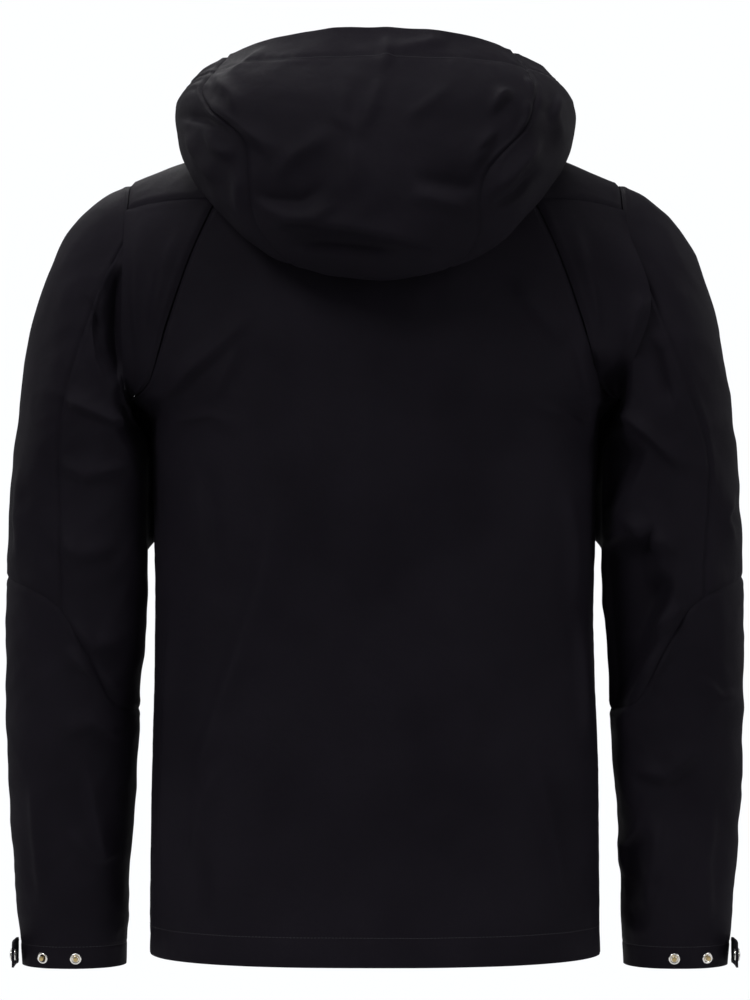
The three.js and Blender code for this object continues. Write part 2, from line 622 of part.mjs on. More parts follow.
// The main zip lies behind the front panels, along the straight front line.
const MAIN_BACK = PANEL + 1.5; // clear of the curve of the collar beside the zip
const MAIN_LOW = vector(0, FRONT_HEM_Y, HEM_Z);
const MAIN_HIGH = vector(0, FRONT_COLLAR_Y, COLLAR_TOP_FRONT);
const MAIN_LENGTH = MAIN_LOW.distanceTo(MAIN_HIGH);
const layMain = (geometry, depth = MAIN_BACK) =>
  lay(geometry.translate(0, depth, 0), MAIN_LOW, MAIN_HIGH, vector(0, 1, 0));
const TAPE_FOOT = 15; // the box and pin stand below the tapes
const COIL_TOP = MAIN_LENGTH - 7;
const TAPE_WIDTH = 12;
const mainTape = zipTape(MAIN_LENGTH - TAPE_FOOT - 2, TAPE_WIDTH).translate(0, 0, TAPE_FOOT);
const mainCoil = zipCoil(TAPE_FOOT, COIL_TOP);
const COIL_FRONT = TAPE_THICK + CLEAR;
const topStop = box(
  [TAPE_SLIT, COIL_FRONT, COIL_TOP + CLEAR],
  [TAPE_SLIT + COIL_WIDTH + 1, COIL_FRONT + COIL_THICK + 0.8, COIL_TOP + 3.4],
);
const retainer = box([TAPE_SLIT, -0.2, 3], [7.6, COIL_FRONT + COIL_THICK + 0.6, TAPE_FOOT - CLEAR]);
const pin = box([-3.4, COIL_FRONT - 0.4, 3.4], [-TAPE_SLIT, COIL_FRONT + COIL_THICK, TAPE_FOOT - CLEAR]);
place("zip_tape_left", layMain(mainTape.clone()), TAPE);
place("zip_tape_right", layMain(mirrored(mainTape)), TAPE);
place("zip_coil_left", layMain(mainCoil.clone()), COIL);
place("zip_coil_right", layMain(mirrored(mainCoil)), COIL);
place("zip_stop_left", layMain(topStop.clone()), COIL);
place("zip_stop_right", layMain(mirrored(topStop)), COIL);
place("zip_box", layMain(retainer), PULLER);
place("zip_pin", layMain(pin), PULLER);

const SLIDER_TOP = COIL_TOP + CLEAR - 0.8; // the slider rests under the top stops
const mainSlider = slider(5.4, EYE_HEIGHT).translate(0, 0, SLIDER_TOP - SLIDER_LENGTH);
place("zip_slider", layMain(mainSlider), PULLER);
place("zip_pull", layMain(sliderPull(30, 3.2, EYE_HEIGHT).translate(0, 0, SLIDER_TOP - SLIDER_LENGTH)), PULLER);

// Behind the zip a flap keeps the wind out, sewn to the left front panel.
const FLAP_BACK = PLATE_BACK + SLIDER_PLATE + 1;
const flapSheet = box([-13, FLAP_BACK, 6], [15.2, FLAP_BACK + LINING, MAIN_LENGTH - 3]);
const flapFoot = box([13.4, 3 * CLEAR, 6], [15.2, FLAP_BACK + LINING, MAIN_LENGTH - 3]);
place("storm_flap", layMain(union(flapSheet, flapFoot)), FACING);

// ---- Hand pockets: a straight zip in a slot of each front panel ----
const pocketLow = bodyPoint(POCKET_LOW.x, POCKET_LOW.y, -1);
const pocketHigh = bodyPoint(POCKET_HIGH.x, POCKET_HIGH.y, -1);
const POCKET_LENGTH = pocketLow.distanceTo(pocketHigh);
const POCKET_TAPE_HALF = 10.5;
function pocketInward() {
  const middle = POCKET_LOW.clone().add(POCKET_HIGH).multiplyScalar(0.5);
  const before = bodyPoint(middle.x - 5, middle.y, -1);
  const after = bodyPoint(middle.x + 5, middle.y, -1);
  const along = pocketHigh.clone().sub(pocketLow);
  return along.cross(after.sub(before)).normalize();
}
const POCKET_INWARD = pocketInward();
// How far the panel's outer face curves in behind the pocket's line, under its tape.
function pocketSag() {
  const along = pocketHigh.clone().sub(pocketLow);
  const across = POCKET_INWARD.clone().cross(along).setLength(POCKET_TAPE_HALF);
  const sagAt = (share, side) => {
    const point = pocketLow.clone().addScaledVector(along, share).addScaledVector(across, side);
    return bodyPoint(point.x, point.z, -1).sub(point).dot(POCKET_INWARD);
  };
  return Math.max(sagAt(0, -1), sagAt(0, 1), sagAt(1, -1), sagAt(1, 1));
}
// The panel's flat facets about double its sag.
const POCKET_DEPTH = PANEL + PLY + 2 * pocketSag();
const layPocket = (geometry, depth = POCKET_DEPTH) =>
  lay(geometry.translate(0, depth, 0), pocketLow, pocketHigh, POCKET_INWARD);
const SLOT_END = 2;
const slot = box(
  [-POCKET_HALF_GAP, -20, SLOT_END],
  [POCKET_HALF_GAP, 20, POCKET_LENGTH - SLOT_END],
);
const frontPanel = cloth(frontPanelPoint, FRONT_COLUMNS.length - 1, FRONT_ROWS.length - 1 + FRONT_UPPER_ROWS, 1);
placePair("front_panel", cut(frontPanel, layPocket(slot, 0)), SHELL);

// Both halves of a pocket's tape are joined beyond the ends of its slit.
const pocketTape = cut(
  box([-POCKET_TAPE_HALF, 0, -5], [POCKET_TAPE_HALF, TAPE_THICK, POCKET_LENGTH + 5]),
  box([-TAPE_SLIT, -1, 3], [TAPE_SLIT, 2, POCKET_LENGTH - 3]),
);
const pocketRow = box(
  [TAPE_SLIT, COIL_FRONT, 4],
  [TAPE_SLIT + COIL_WIDTH, COIL_FRONT + COIL_THICK, POCKET_LENGTH - 4],
);
const pocketStop = (z) => box([-3.4, COIL_FRONT, z - 1.4], [3.4, COIL_FRONT + COIL_THICK, z + 1.4]);
const pocketCoil = union(pocketRow, mirrored(pocketRow), pocketStop(3.6), pocketStop(POCKET_LENGTH - 3.6));
placePair("pocket_tape", layPocket(pocketTape), TAPE);
placePair("pocket_coil", layPocket(pocketCoil), COIL);
const pocketSliderZ = POCKET_LENGTH - 5.4 - SLIDER_LENGTH;
placePair("pocket_slider", layPocket(slider(4.6, POCKET_EYE_HEIGHT).translate(0, 0, pocketSliderZ)), PULLER);
placePair("pocket_pull", layPocket(sliderPull(24, 2.6, POCKET_EYE_HEIGHT).translate(0, 0, pocketSliderZ)), PULLER);

// The pocket's bag hangs inside the front panel, sewn to it round the edge.
const BAG = { x0: 62, x1: 158, z0: -695, z1: -425, depth: 16.5 };
const bagPoint = (s, t) => bodyPoint(mix(BAG.x0, BAG.x1, s), mix(BAG.z0, BAG.z1, t), -1);
function bagDepth(s, t) {
  const edge = Math.min(s, 1 - s, t, 1 - t);
  return mix(PANEL + 3 * PLY, BAG.depth, smooth(edge / 0.1));
}
placePair("pocket_bag", cloth(bagPoint, 10, 10, 1, { thick: 1.2, depth: bagDepth }), FACING);

// ---- Sleeves ----
const sleeveStart = (phi) => mix(0.1, 0.05, (Math.cos(phi) + 1) / 2);
const SLEEVE_GAP = radians(0.5); // on each side of the sleeve's long seams
function sleevePanel(from, to, columns) {
  const at = (s, t) => {
    const phi = mix(from + SLEEVE_GAP, to - SLEEVE_GAP, s);
    return sleevePoint(mix(sleeveStart(phi), elbowSection(phi) - ELBOW_GAP, t), phi);
  };
  return cloth(at, columns, 9, -1);
}

// The forearm's columns line up with those of the two panels above the elbow.
const UPPER_COLUMNS = 9;
const UNDER_COLUMNS = 10;
const upperAngles = Array.from({ length: UPPER_COLUMNS }, (_, i) => mix(-SLEEVE_SEAM, SLEEVE_SEAM, i / UPPER_COLUMNS));
const underAngles = Array.from({ length: UNDER_COLUMNS + 1 }, (_, i) =>
  mix(SLEEVE_SEAM, 2 * Math.PI - SLEEVE_SEAM, i / UNDER_COLUMNS),
);
placePair("sleeve_upper", sleevePanel(-SLEEVE_SEAM, SLEEVE_SEAM, UPPER_COLUMNS), SHELL);
placePair("sleeve_under", sleevePanel(SLEEVE_SEAM, 2 * Math.PI - SLEEVE_SEAM, UNDER_COLUMNS), SHELL);
const FOREARM_ANGLES = [...upperAngles, ...underAngles];
const FOREARM_COLUMNS = FOREARM_ANGLES.length - 1;
const forearmPoint = (s, t) => {
  const phi = readAlong(FOREARM_ANGLES, s);
  return sleevePoint(mix(elbowSection(phi) + ELBOW_GAP, SLEEVE_END, t), phi);
};
placePair("forearm", cloth(forearmPoint, FOREARM_COLUMNS, 7, -1, { tube: true }), SHELL);
const cuffPoint = (s, t) => {
  const turned = (CUFF_CASING / (SLEEVE[SLEEVE_END - 1].outer[1] - CUFF_Z)) * (1 - t);
  return sleevePoint(SLEEVE_END - turned - 0.01, readAlong(FOREARM_ANGLES, s));
};
placePair("cuff_facing", cloth(cuffPoint, FOREARM_COLUMNS, 1, -1, { ...FABRIC, tube: true }), FACING);

// ---- Cuff tabs and their snaps ----
const STUD_OUTLINE = [
  [0, 0],
  [SNAP_RADIUS, 0],
  [SNAP_RADIUS, 0.8],
  [SNAP_RADIUS - 0.6, 1.2],
  [SNAP_POST + 0.4, 1.2],
  [SNAP_POST, 1.6],
  [SNAP_POST, 2.4],
  [SNAP_POST + 0.3, 2.8],
  [SNAP_POST - 0.3, 3.2],
  [0, 3.2],
];
// A stud stands on the back of the cuff at a distance x from the middle.
function cuffStud(x) {
  const t = SLEEVE_END - (STUD_Z - CUFF_Z) / (SLEEVE[SLEEVE_END - 1].outer[1] - CUFF_Z);
  const phi = Math.acos((2 * (x - innerX(t))) / (outerX(t) - innerX(t)) - 1);
  const at = (s, u) => sleevePoint(u * SLEEVE_END, s * 2 * Math.PI);
  const facing = surfaceNormal(at, phi / (2 * Math.PI), t / SLEEVE_END).negate();
  const point = sleevePoint(t, phi).addScaledVector(facing, CLEAR);
  return stand(turnedSolid(STUD_OUTLINE, 20), point, facing);
}
STUDS_X.forEach((x, i) => placePair(`cuff_stud_${i + 1}`, cuffStud(x), STEEL));

const TAB_LOW = CUFF_Z + 1.5;
const TAB_END_Y = TAB_HINGE_Y + TAB_LENGTH;
const SOCKET_Y = TAB_END_Y - 9;
const facingOut = vector(1, 0, 0);
function cuffTab() {
  const half = TAB_WIDTH / 2;
  const shape = new THREE.Shape();
  const corner = 6;
  shape.moveTo(TAB_HINGE_Y, -half);
  shape.lineTo(TAB_END_Y - corner, -half);
  shape.quadraticCurveTo(TAB_END_Y, -half, TAB_END_Y, -half + corner);
  shape.lineTo(TAB_END_Y, half - corner);
  shape.quadraticCurveTo(TAB_END_Y, half, TAB_END_Y - corner, half);
  shape.lineTo(TAB_HINGE_Y, half);
  const hole = new THREE.Path().absarc(SOCKET_Y, 0, SNAP_POST + CLEAR, 0, 2 * Math.PI, true);
  shape.holes.push(hole);
  const flat = new THREE.ExtrudeGeometry(shape, { depth: TAB_THICK, bevelEnabled: false, curveSegments: 6 });
  const upright = new THREE.Matrix4().makeBasis(vector(0, 1, 0), vector(0, 0, 1), facingOut);
  return flat.applyMatrix4(upright).translate(TAB_X, 0, TAB_LOW + half);
}
const SOCKET_OUTLINE = [
  [0, -2.6],
  [SNAP_RADIUS - 0.3, -2.6],
  [SNAP_RADIUS - 0.3, -1.2],
  [SNAP_POST, -1.2],
  [SNAP_POST, TAB_THICK / 2 + 0.4],
  [SNAP_RADIUS + 0.5, TAB_THICK / 2 + 0.4],
  [SNAP_RADIUS, 2.2],
  [3, 2.9],
  [0, 3],
];
placePair("cuff_tab", cuffTab(), SHELL);
const socketPoint = vector(TAB_X + TAB_THICK / 2, SOCKET_Y, TAB_LOW + TAB_WIDTH / 2);
placePair("snap_socket", stand(turnedSolid(SOCKET_OUTLINE, 20), socketPoint, facingOut), STEEL);

// ---- Hood ----
function hoodCentrePoint(s, t) {
  const v = t * HOOD_LEVELS;
  return hoodPoint(mix(-1, 1, s) * (hoodCentre(v) - HOOD_GAP), v);
}
function hoodSidePoint(s, t) {
  const v = t * HOOD_LEVELS;
  return hoodPoint(mix(hoodCentre(v) + HOOD_GAP, HOOD_STATIONS, s), v);
}
// The brim's facing takes its columns from the three panels it lies against.
const HOOD_CENTRE_COLUMNS = 8;
const HOOD_SIDE_COLUMNS = 10;
const BRIM_COLUMNS = HOOD_CENTRE_COLUMNS + 2 * HOOD_SIDE_COLUMNS;
function brimPoint(s, t) {
  const v = mix(HOOD_LEVELS - BRIM_CASING, HOOD_LEVELS - 0.01, t);
  const column = Math.abs(s - 0.5) * BRIM_COLUMNS;
  const centre = HOOD_CENTRE_COLUMNS / 2;
  const seam = hoodCentre(v);
  const end = HOOD_STATIONS - 0.05;
  const u = column < centre ? (seam * column) / centre : mix(seam, end, (column - centre) / HOOD_SIDE_COLUMNS);
  return hoodPoint(Math.sign(s - 0.5) * u, v);
}
place("hood_centre", cloth(hoodCentrePoint, HOOD_CENTRE_COLUMNS, 12, -1), SHELL);
placePair("hood_side", cloth(hoodSidePoint, HOOD_SIDE_COLUMNS, 12, -1), SHELL);
place("hood_brim", cloth(brimPoint, BRIM_COLUMNS, 1, -1, { thick: LINING, depth: PANEL + 3 * PLY }), FACING);

// Eyelets where the drawcords of the hood and of the hem come out.
const EYELET = washer(4.4, 2, 1.2);
const hoodAt = (s, t) => hoodPoint(s * HOOD_STATIONS, t * HOOD_LEVELS);
const hoodOut = surfaceNormal(hoodAt, 0.93, 0.94).negate();
const hoodEyelet = hoodAt(0.93, 0.94).addScaledVector(hoodOut, 1);
placePair("hood_eyelet", stand(EYELET.clone(), hoodEyelet, hoodOut), PULLER);
const hemEyeletX = 62;
const hemAt = (s, t) => bodyPoint(mix(0, 200, s), mix(HEM_Z, HEM_Z + HEM_CASING, t), -1);
const hemIn = surfaceNormal(hemAt, hemEyeletX / 200, 0.5).negate();
const hemEyelet = hemAt(hemEyeletX / 200, 0.5).addScaledVector(hemIn, PANEL + LINING + PLY + 1.2);
placePair("hem_eyelet", stand(EYELET.clone(), hemEyelet, hemIn), PULLER);

export default jacket;
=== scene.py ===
"""The looks of the hardshell jacket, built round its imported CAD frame.

Lengths in the shape tables are millimetres in the part's own frame: +X to the wearer's left,
-Y the way the wearer faces, +Z up. Each cloth panel is a fine grid on the same surface as its
CAD node, with folds, seam ditches and puckers pressed into it, closed as a thin sheet.
"""

import math

import bpy
import numpy as np
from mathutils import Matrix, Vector


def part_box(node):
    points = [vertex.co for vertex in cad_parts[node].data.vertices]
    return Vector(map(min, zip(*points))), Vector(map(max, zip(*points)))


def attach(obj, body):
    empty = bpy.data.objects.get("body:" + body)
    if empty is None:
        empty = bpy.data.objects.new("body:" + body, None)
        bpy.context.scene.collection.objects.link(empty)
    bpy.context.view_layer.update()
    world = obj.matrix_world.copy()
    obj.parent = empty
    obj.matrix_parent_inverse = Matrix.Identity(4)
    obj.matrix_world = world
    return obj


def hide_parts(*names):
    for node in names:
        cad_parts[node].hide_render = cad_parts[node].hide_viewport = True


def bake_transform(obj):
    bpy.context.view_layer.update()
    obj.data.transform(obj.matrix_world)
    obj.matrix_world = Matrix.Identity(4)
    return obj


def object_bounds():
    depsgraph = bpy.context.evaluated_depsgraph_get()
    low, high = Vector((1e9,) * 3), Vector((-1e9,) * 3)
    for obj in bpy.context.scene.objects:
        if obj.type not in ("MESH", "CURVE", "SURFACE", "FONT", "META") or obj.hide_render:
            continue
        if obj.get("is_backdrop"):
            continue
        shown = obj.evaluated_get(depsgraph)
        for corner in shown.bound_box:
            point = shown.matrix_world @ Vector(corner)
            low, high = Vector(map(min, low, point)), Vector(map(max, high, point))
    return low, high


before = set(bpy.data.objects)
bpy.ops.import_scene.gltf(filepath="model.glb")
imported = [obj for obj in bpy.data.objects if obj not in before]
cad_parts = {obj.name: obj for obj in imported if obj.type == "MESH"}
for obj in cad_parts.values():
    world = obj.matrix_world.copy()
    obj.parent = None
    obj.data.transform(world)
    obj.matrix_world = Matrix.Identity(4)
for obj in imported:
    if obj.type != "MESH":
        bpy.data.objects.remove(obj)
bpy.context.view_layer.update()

MM = 0.001


def node_box(name):
    low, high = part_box(name)
    return np.array(low) / MM, np.array(high) / MM


# ---------------------------------------------------------------- sizes read from the frame
HEM_Z = node_box("back_panel")[0][2]
CUFF_Z = node_box("forearm_left")[0][2]
HEM_HALF = node_box("hem_facing")[1][0] + 3.6
ARM_X = node_box("sleeve_upper_left")[0][0] - 0.1
NECK_HALF = node_box("collar")[1][0] + 0.2
ZIP_GAP = node_box("front_panel_left")[0][0]
COLLAR_TOP = node_box("collar")[1][2]
FRONT_HEM_Y = node_box("front_panel_left")[0][1]
FRONT_TOP_Y = -88.0  # the front edge at the top of the collar
SIDE_Y = 4.0  # where the side of the body lies between back and front
ARMPIT_Z, RING_LOW = -258.0, -247.0  # the armpit, and the armhole's lowest point
CLOTH = 1.3  # the shell cloth's thickness
SIDES = ((1, "left"), (-1, "right"))


# ---------------------------------------------------------------- small maths
def curve(pairs):
    """A smooth curve through [key, value] pairs, read at an array of keys."""
    k = np.array([p[0] for p in pairs], float)
    v = np.array([p[1] for p in pairs], float)
    m = np.empty_like(v)
    m[0], m[-1] = (v[1] - v[0]) / (k[1] - k[0]), (v[-1] - v[-2]) / (k[-1] - k[-2])
    m[1:-1] = (v[2:] - v[:-2]) / (k[2:] - k[:-2])

    def read(x):
        x = np.clip(np.asarray(x, float), k[0], k[-1])
        i = np.clip(np.searchsorted(k, x, side="left"), 1, len(k) - 1)
        span = k[i] - k[i - 1]
        u = (x - k[i - 1]) / span
        value = v[i - 1] * (1 + 2 * u) * (1 - u) ** 2 + v[i] * u**2 * (3 - 2 * u)
        return value + span * (m[i - 1] * u * (1 - u) ** 2 - m[i] * u**2 * (1 - u))

    return read


def clamp(v, low=0.0, high=1.0):
    return np.minimum(high, np.maximum(low, v))


def mix(a, b, t):
    return a + (b - a) * t


def smooth(v):
    v = clamp(v)
    return v * v * (3 - 2 * v)


def bump(v, middle, half):
    """1 at the middle, falling smoothly to 0 at half away."""
    return smooth(1 - np.abs(v - middle) / half)


def unit(v):
    return v / np.maximum(np.linalg.norm(v, axis=-1, keepdims=True), 1e-9)


def pack(x, y, z):
    x, y, z = np.broadcast_arrays(x, y, z)
    return np.stack([x, y, z], axis=-1).astype(float)


rng = np.random.default_rng(11)
HASH = np.tile(rng.permutation(256), 2)
SLOPES = unit(rng.normal(size=(256, 3)))


def noise(p, size, seed=0):
    """Smooth noise of about -0.6 to 0.6, with features of the given size in mm."""
    q = p / np.asarray(size, float) + seed * 17.3
    cell = np.floor(q).astype(int)
    f = q - cell
    w = f * f * f * (f * (f * 6 - 15) + 10)
    total = np.zeros(p.shape[:-1])
    for dx in (0, 1):
        for dy in (0, 1):
            for dz in (0, 1):
                c = (cell + (dx, dy, dz)) & 255
                h = HASH[HASH[HASH[c[..., 0]] + c[..., 1]] + c[..., 2]]
                g = SLOPES[h]
                d = f - (dx, dy, dz)
                wx = w[..., 0] if dx else 1 - w[..., 0]
                wy = w[..., 1] if dy else 1 - w[..., 1]
                wz = w[..., 2] if dz else 1 - w[..., 2]
                total += (g * d).sum(-1) * wx * wy * wz
    return total


def creases(p, size, seed=0):
    """Noise with soft rounded tops and sharper valleys between them."""
    return 1.5 * (0.22 - np.abs(noise(p, size, seed)))


# ---------------------------------------------------------------- the body's surface
side_width = curve(
    [[HEM_Z, HEM_HALF], [-620, 210], [-460, 206], [-360, 208], [ARMPIT_Z, 211]]
)
back_depth = curve(
    [[HEM_Z, 118], [-620, 112], [-480, 108], [-330, 118], [-200, 127], [-90, 118], [0, 104]]
)
OUTER_RIDGE = [[NECK_HALF, 2], [130, -8], [179, -22], [206, -32], [ARM_X, -43]]
back_ridge = curve([[0, 33], [30, 29], [60, 15.5], *OUTER_RIDGE])
front_ridge = curve([[0, 4], [40, 4], *OUTER_RIDGE])
NECK_SHARE = 0.8
SQUARE = 2.4


def ridge(x, side):
    return back_ridge(np.abs(x)) if side > 0 else front_ridge(np.abs(x))


def front_line(z):
    return mix(FRONT_HEM_Y, FRONT_TOP_Y, (z - HEM_Z) / (COLLAR_TOP - HEM_Z))


def depth_at(z, side):
    return back_depth(z) - SIDE_Y if side > 0 else SIDE_Y - front_line(z)


def half_width(z):
    """Half the body's width at a height; above the armpit it widens into the arm."""
    corner, flare, rise = 4.0, 66.0, 35.0
    above = corner * np.logaddexp(0, (z - ARMPIT_Z) / corner)
    return side_width(z) + flare * (1 - np.exp(-above / rise))


def bulge(x, z):
    return (1 - np.minimum(1, np.abs(x) / half_width(z)) ** SQUARE) ** (1 / SQUARE)


def round_height(x, side):
    """The height over which the shoulder's ridge turns down into the panel."""
    return 95.0 if side > 0 else mix(52.0, 85.0, smooth(np.abs(x) / ARM_X))


def turn_at(x, z, side):
    return np.arccos(1 - clamp((ridge(x, side) - z) / round_height(x, side)))


def body(x, z, side):
    share = np.sin(turn_at(x, z, side)) * bulge(x, z)
    return pack(x, SIDE_Y + side * depth_at(z, side) * share, z)


def body_turn(x, turn, side):
    z = ridge(x, side) - round_height(x, side) * (1 - np.cos(turn))
    return pack(x, SIDE_Y + side * depth_at(z, side) * bulge(x, z) * np.sin(turn), z)


def neck_turn(w):
    """How far down the neck seam lies at an angle w round the neck, 0 at the centre back."""
    c = np.cos(w)
    return np.arcsin(clamp(np.where(c > 0, NECK_SHARE * c, -1.02 * c)))


def neck_point(w):
    a = np.abs(w)
    x = NECK_HALF * np.sin(w)
    back = body_turn(x, neck_turn(a), 1)
    front = body_turn(x, neck_turn(a), -1)
    return np.where((a < math.pi / 2)[..., None], back, front)


RAGLAN_TOP = (145.0, -62.0)
raglan = curve(
    [[RING_LOW, ARM_X], [-241, 218], [-230, 208], [-176, 191], [-112, 168], [-62, 145]]
)
RAGLAN_TURN = float(turn_at(*RAGLAN_TOP, 1))
BACK_YOKE_TURN = float(turn_at(ARM_X, -70.0, 1))
FRONT_YOKE_TURN = float(turn_at(ARM_X, -88.0, -1))
YOKE_NECK_X = 70.0
YOKE_NECK_W = math.pi - math.asin(YOKE_NECK_X / NECK_HALF)
YOKE_NECK_TURN = float(neck_turn(np.array(YOKE_NECK_W)))


def back_yoke_turn(x):
    share = clamp((x - RAGLAN_TOP[0]) / (ARM_X - RAGLAN_TOP[0]))
    return mix(RAGLAN_TURN, BACK_YOKE_TURN, share)


def front_yoke_turn(x):
    share = clamp((x - YOKE_NECK_X) / (ARM_X - YOKE_NECK_X))
    return mix(YOKE_NECK_TURN, FRONT_YOKE_TURN, share)


# ---------------------------------------------------------------- the left sleeve's surface
SLEEVE = [
    # outer x, outer z, inner x, inner z, middle y, half depth
    (ARM_X, -43, ARM_X, RING_LOW, 11, 72),
    (256, -56.5, 229.5, -258, 10, 73),
    (289, -90.5, 223, -271, 8, 74),
    (311, -136, 217.5, -288, 6, 75),
    (327, -198, 215, -312, 4, 74),
    (340, -293, 214.5, -360, 1, 70),
    (347, -420, 216, -430, -4, 65),
    (348.5, -529, 223, -529, -11, 59),
    (346.5, -623, 229, -623, -19, 53),
    (341, -718, 235, -718, -28, 46),
    (336.5, CUFF_Z, 237.5, CUFF_Z, -34, 41),
]
SLEEVE_END = len(SLEEVE) - 1
outer_x, outer_z, inner_x, inner_z, middle_y, half_y = (
    curve([[i, row[c]] for i, row in enumerate(SLEEVE)]) for c in range(6)
)


def sleeve(t, phi):
    """A point on the left sleeve: t counts the table's sections, phi is 0 at the outer edge."""
    c = np.cos(phi)
    reach = (c + 1) / 2
    side = np.where(np.sin(phi) < 0, -1.0, 1.0)
    oval = middle_y(t) + side * half_y(t) * (1 - np.abs(c) ** 2.2) ** (1 / 2.2)
    ring_z = mix(RING_LOW, float(back_ridge(ARM_X)), reach)
    back, front = body(ARM_X, ring_z, 1)[..., 1], body(ARM_X, ring_z, -1)[..., 1]
    ring = np.where(side > 0, back, front)
    return pack(
        mix(inner_x(t), outer_x(t), reach),
        mix(ring, oval, smooth(t / 3)),
        mix(inner_z(t), outer_z(t), reach),
    )


elbow_seam = curve([[216, -540], [245, -527], [268, -482], [295, -438], [347, -412]])


def elbow_section(phi):
    """The section at which each line down the sleeve meets the elbow seam."""
    above = np.full_like(phi, 4.0)
    below = np.full_like(phi, 9.0)
    for _ in range(26):
        middle = (above + below) / 2
        p = sleeve(middle, phi)
        high = p[..., 2] > elbow_seam(p[..., 0])
        above, below = np.where(high, middle, above), np.where(high, below, middle)
    return above


FRONT_SEAM = -math.radians(82)
# the back seam's angle down each sleeve
LEFT_BACK_SEAM = [
    [0, 1.10], [0.7, 1.25], [2.2, 1.40], [3.4, 1.37], [4.1, 1.30],
    [4.6, 1.285], [5.3, 1.36], [6.1, 1.43], [9, 1.45],
]
RIGHT_BACK_SEAM = [
    [0, 1.12], [0.7, 1.26], [1.9, 1.41], [3.1, 1.36], [4.1, 1.21],
    [4.7, 1.05], [5.0, 1.02], [5.4, 1.085], [5.9, 1.18], [9, 1.3],
]
back_seam = {1: curve(LEFT_BACK_SEAM), -1: curve(RIGHT_BACK_SEAM)}


def seam_section(side):
    """The section at which the sleeve's back seam meets the elbow seam."""
    low, high = 4.0, 9.0
    for _ in range(30):
        middle = (low + high) / 2
        p = sleeve(np.array(middle), back_seam[side](middle))
        low, high = (middle, high) if p[2] > elbow_seam(p[0]) else (low, middle)
    return low


# ---------------------------------------------------------------- the hood's surface
# levels from the neck seam up to the brim, each from the centre back round to the left front
HOOD = np.array(
    [
        [
            [0, 93, 6], [52, 78, 5], [76, 52, 5], [90, 24, 6],
            [91, 2, 9], [86, -30, 9], [72, -58, 6],
        ],
        [
            [0, 133, -78], [78, 120, -68], [116, 92, -38], [134, 52, -7],
            [136, 8, 4], [115, -36, 12], [74, -60, 12],
        ],
        [
            [0, 160, -143], [88, 152, -123], [140, 120, -77], [169, 74, -35],
            [173, 10, -10], [140, -42, 8], [76, -63, 18],
        ],
        [
            [0, 203, -92], [108, 188, -74], [160, 140, -37], [181, 80, -4],
            [183, 10, 10], [150, -44, 20], [79, -66, 26],
        ],
        [
            [0, 196, 6], [112, 178, 12], [164, 130, 22], [182, 70, 28],
            [182, 4, 34], [146, -48, 36], [77, -66, 38],
        ],
        [
            [0, 138, 87], [84, 122, 81], [138, 88, 66], [165, 44, 54],
            [166, -8, 50], [130, -50, 47], [70, -62, 50],
        ],
    ],
    float,
)
HOOD_STATIONS, HOOD_LEVELS = HOOD.shape[1] - 1, HOOD.shape[0] - 1


def hermite(table, x):
    """Reads rows of a table, spaced 1 apart, smoothly at an array of positions."""
    last = len(table) - 1
    x = np.clip(x, 0, last)
    i = np.clip(np.floor(x).astype(int), 0, last - 1)
    u = (x - i)[..., None] if table.ndim > 1 else x - i
    m = np.gradient(table, axis=0)
    a, b, ma, mb = table[i], table[i + 1], m[i], m[i + 1]
    value = a * (1 + 2 * u) * (1 - u) ** 2 + b * u**2 * (3 - 2 * u)
    return value + ma * u * (1 - u) ** 2 - mb * u**2 * (1 - u)


def hood(u, v):
    """u counts stations from the centre back, negative on the right; v counts levels."""
    u, v = np.broadcast_arrays(u, v)
    mirrored = HOOD[:, 1:2] * (-1, 1, 1)
    rows = np.concatenate([mirrored, HOOD], axis=1)
    across = np.stack([hermite(row, np.abs(u) + 1) for row in rows], axis=0)
    last = len(HOOD) - 1
    x = np.clip(v, 0, last)
    i = np.clip(np.floor(x).astype(int), 0, last - 1)
    f = (x - i)[..., None]
    m = np.gradient(across, axis=0)

    def take(a, k):
        return np.take_along_axis(a, k[None, ..., None], axis=0)[0]

    p = take(across, i) * (1 + 2 * f) * (1 - f) ** 2 + take(across, i + 1) * f**2 * (3 - 2 * f)
    p = p + take(m, i) * f * (1 - f) ** 2 - take(m, i + 1) * f**2 * (1 - f)
    p[..., 0] *= np.sign(u)
    return p


# the side seams: stations at each level
LEFT_HOOD_SEAM = [
    [0, 0.55], [1, 0.62], [2.12, 0.84], [2.4, 0.96], [2.7, 1.05], [3.3, 1.02], [3.62, 1.05],
    [3.76, 1.25], [3.87, 1.52], [4.1, 1.84], [4.3, 1.93], [HOOD_LEVELS, 1.95],
]
RIGHT_HOOD_SEAM = [
    [0, 0.5], [1, 0.55], [2.12, 0.74], [2.3, 0.87], [2.6, 0.9], [3.0, 0.84], [3.34, 0.86],
    [3.51, 1.01], [3.67, 1.25], [3.96, 1.46], [4.38, 1.65], [HOOD_LEVELS, 1.75],
]
hood_seam = {1: curve(LEFT_HOOD_SEAM), -1: curve(RIGHT_HOOD_SEAM)}


# ---------------------------------------------------------------- folds
FOLD = 1.6


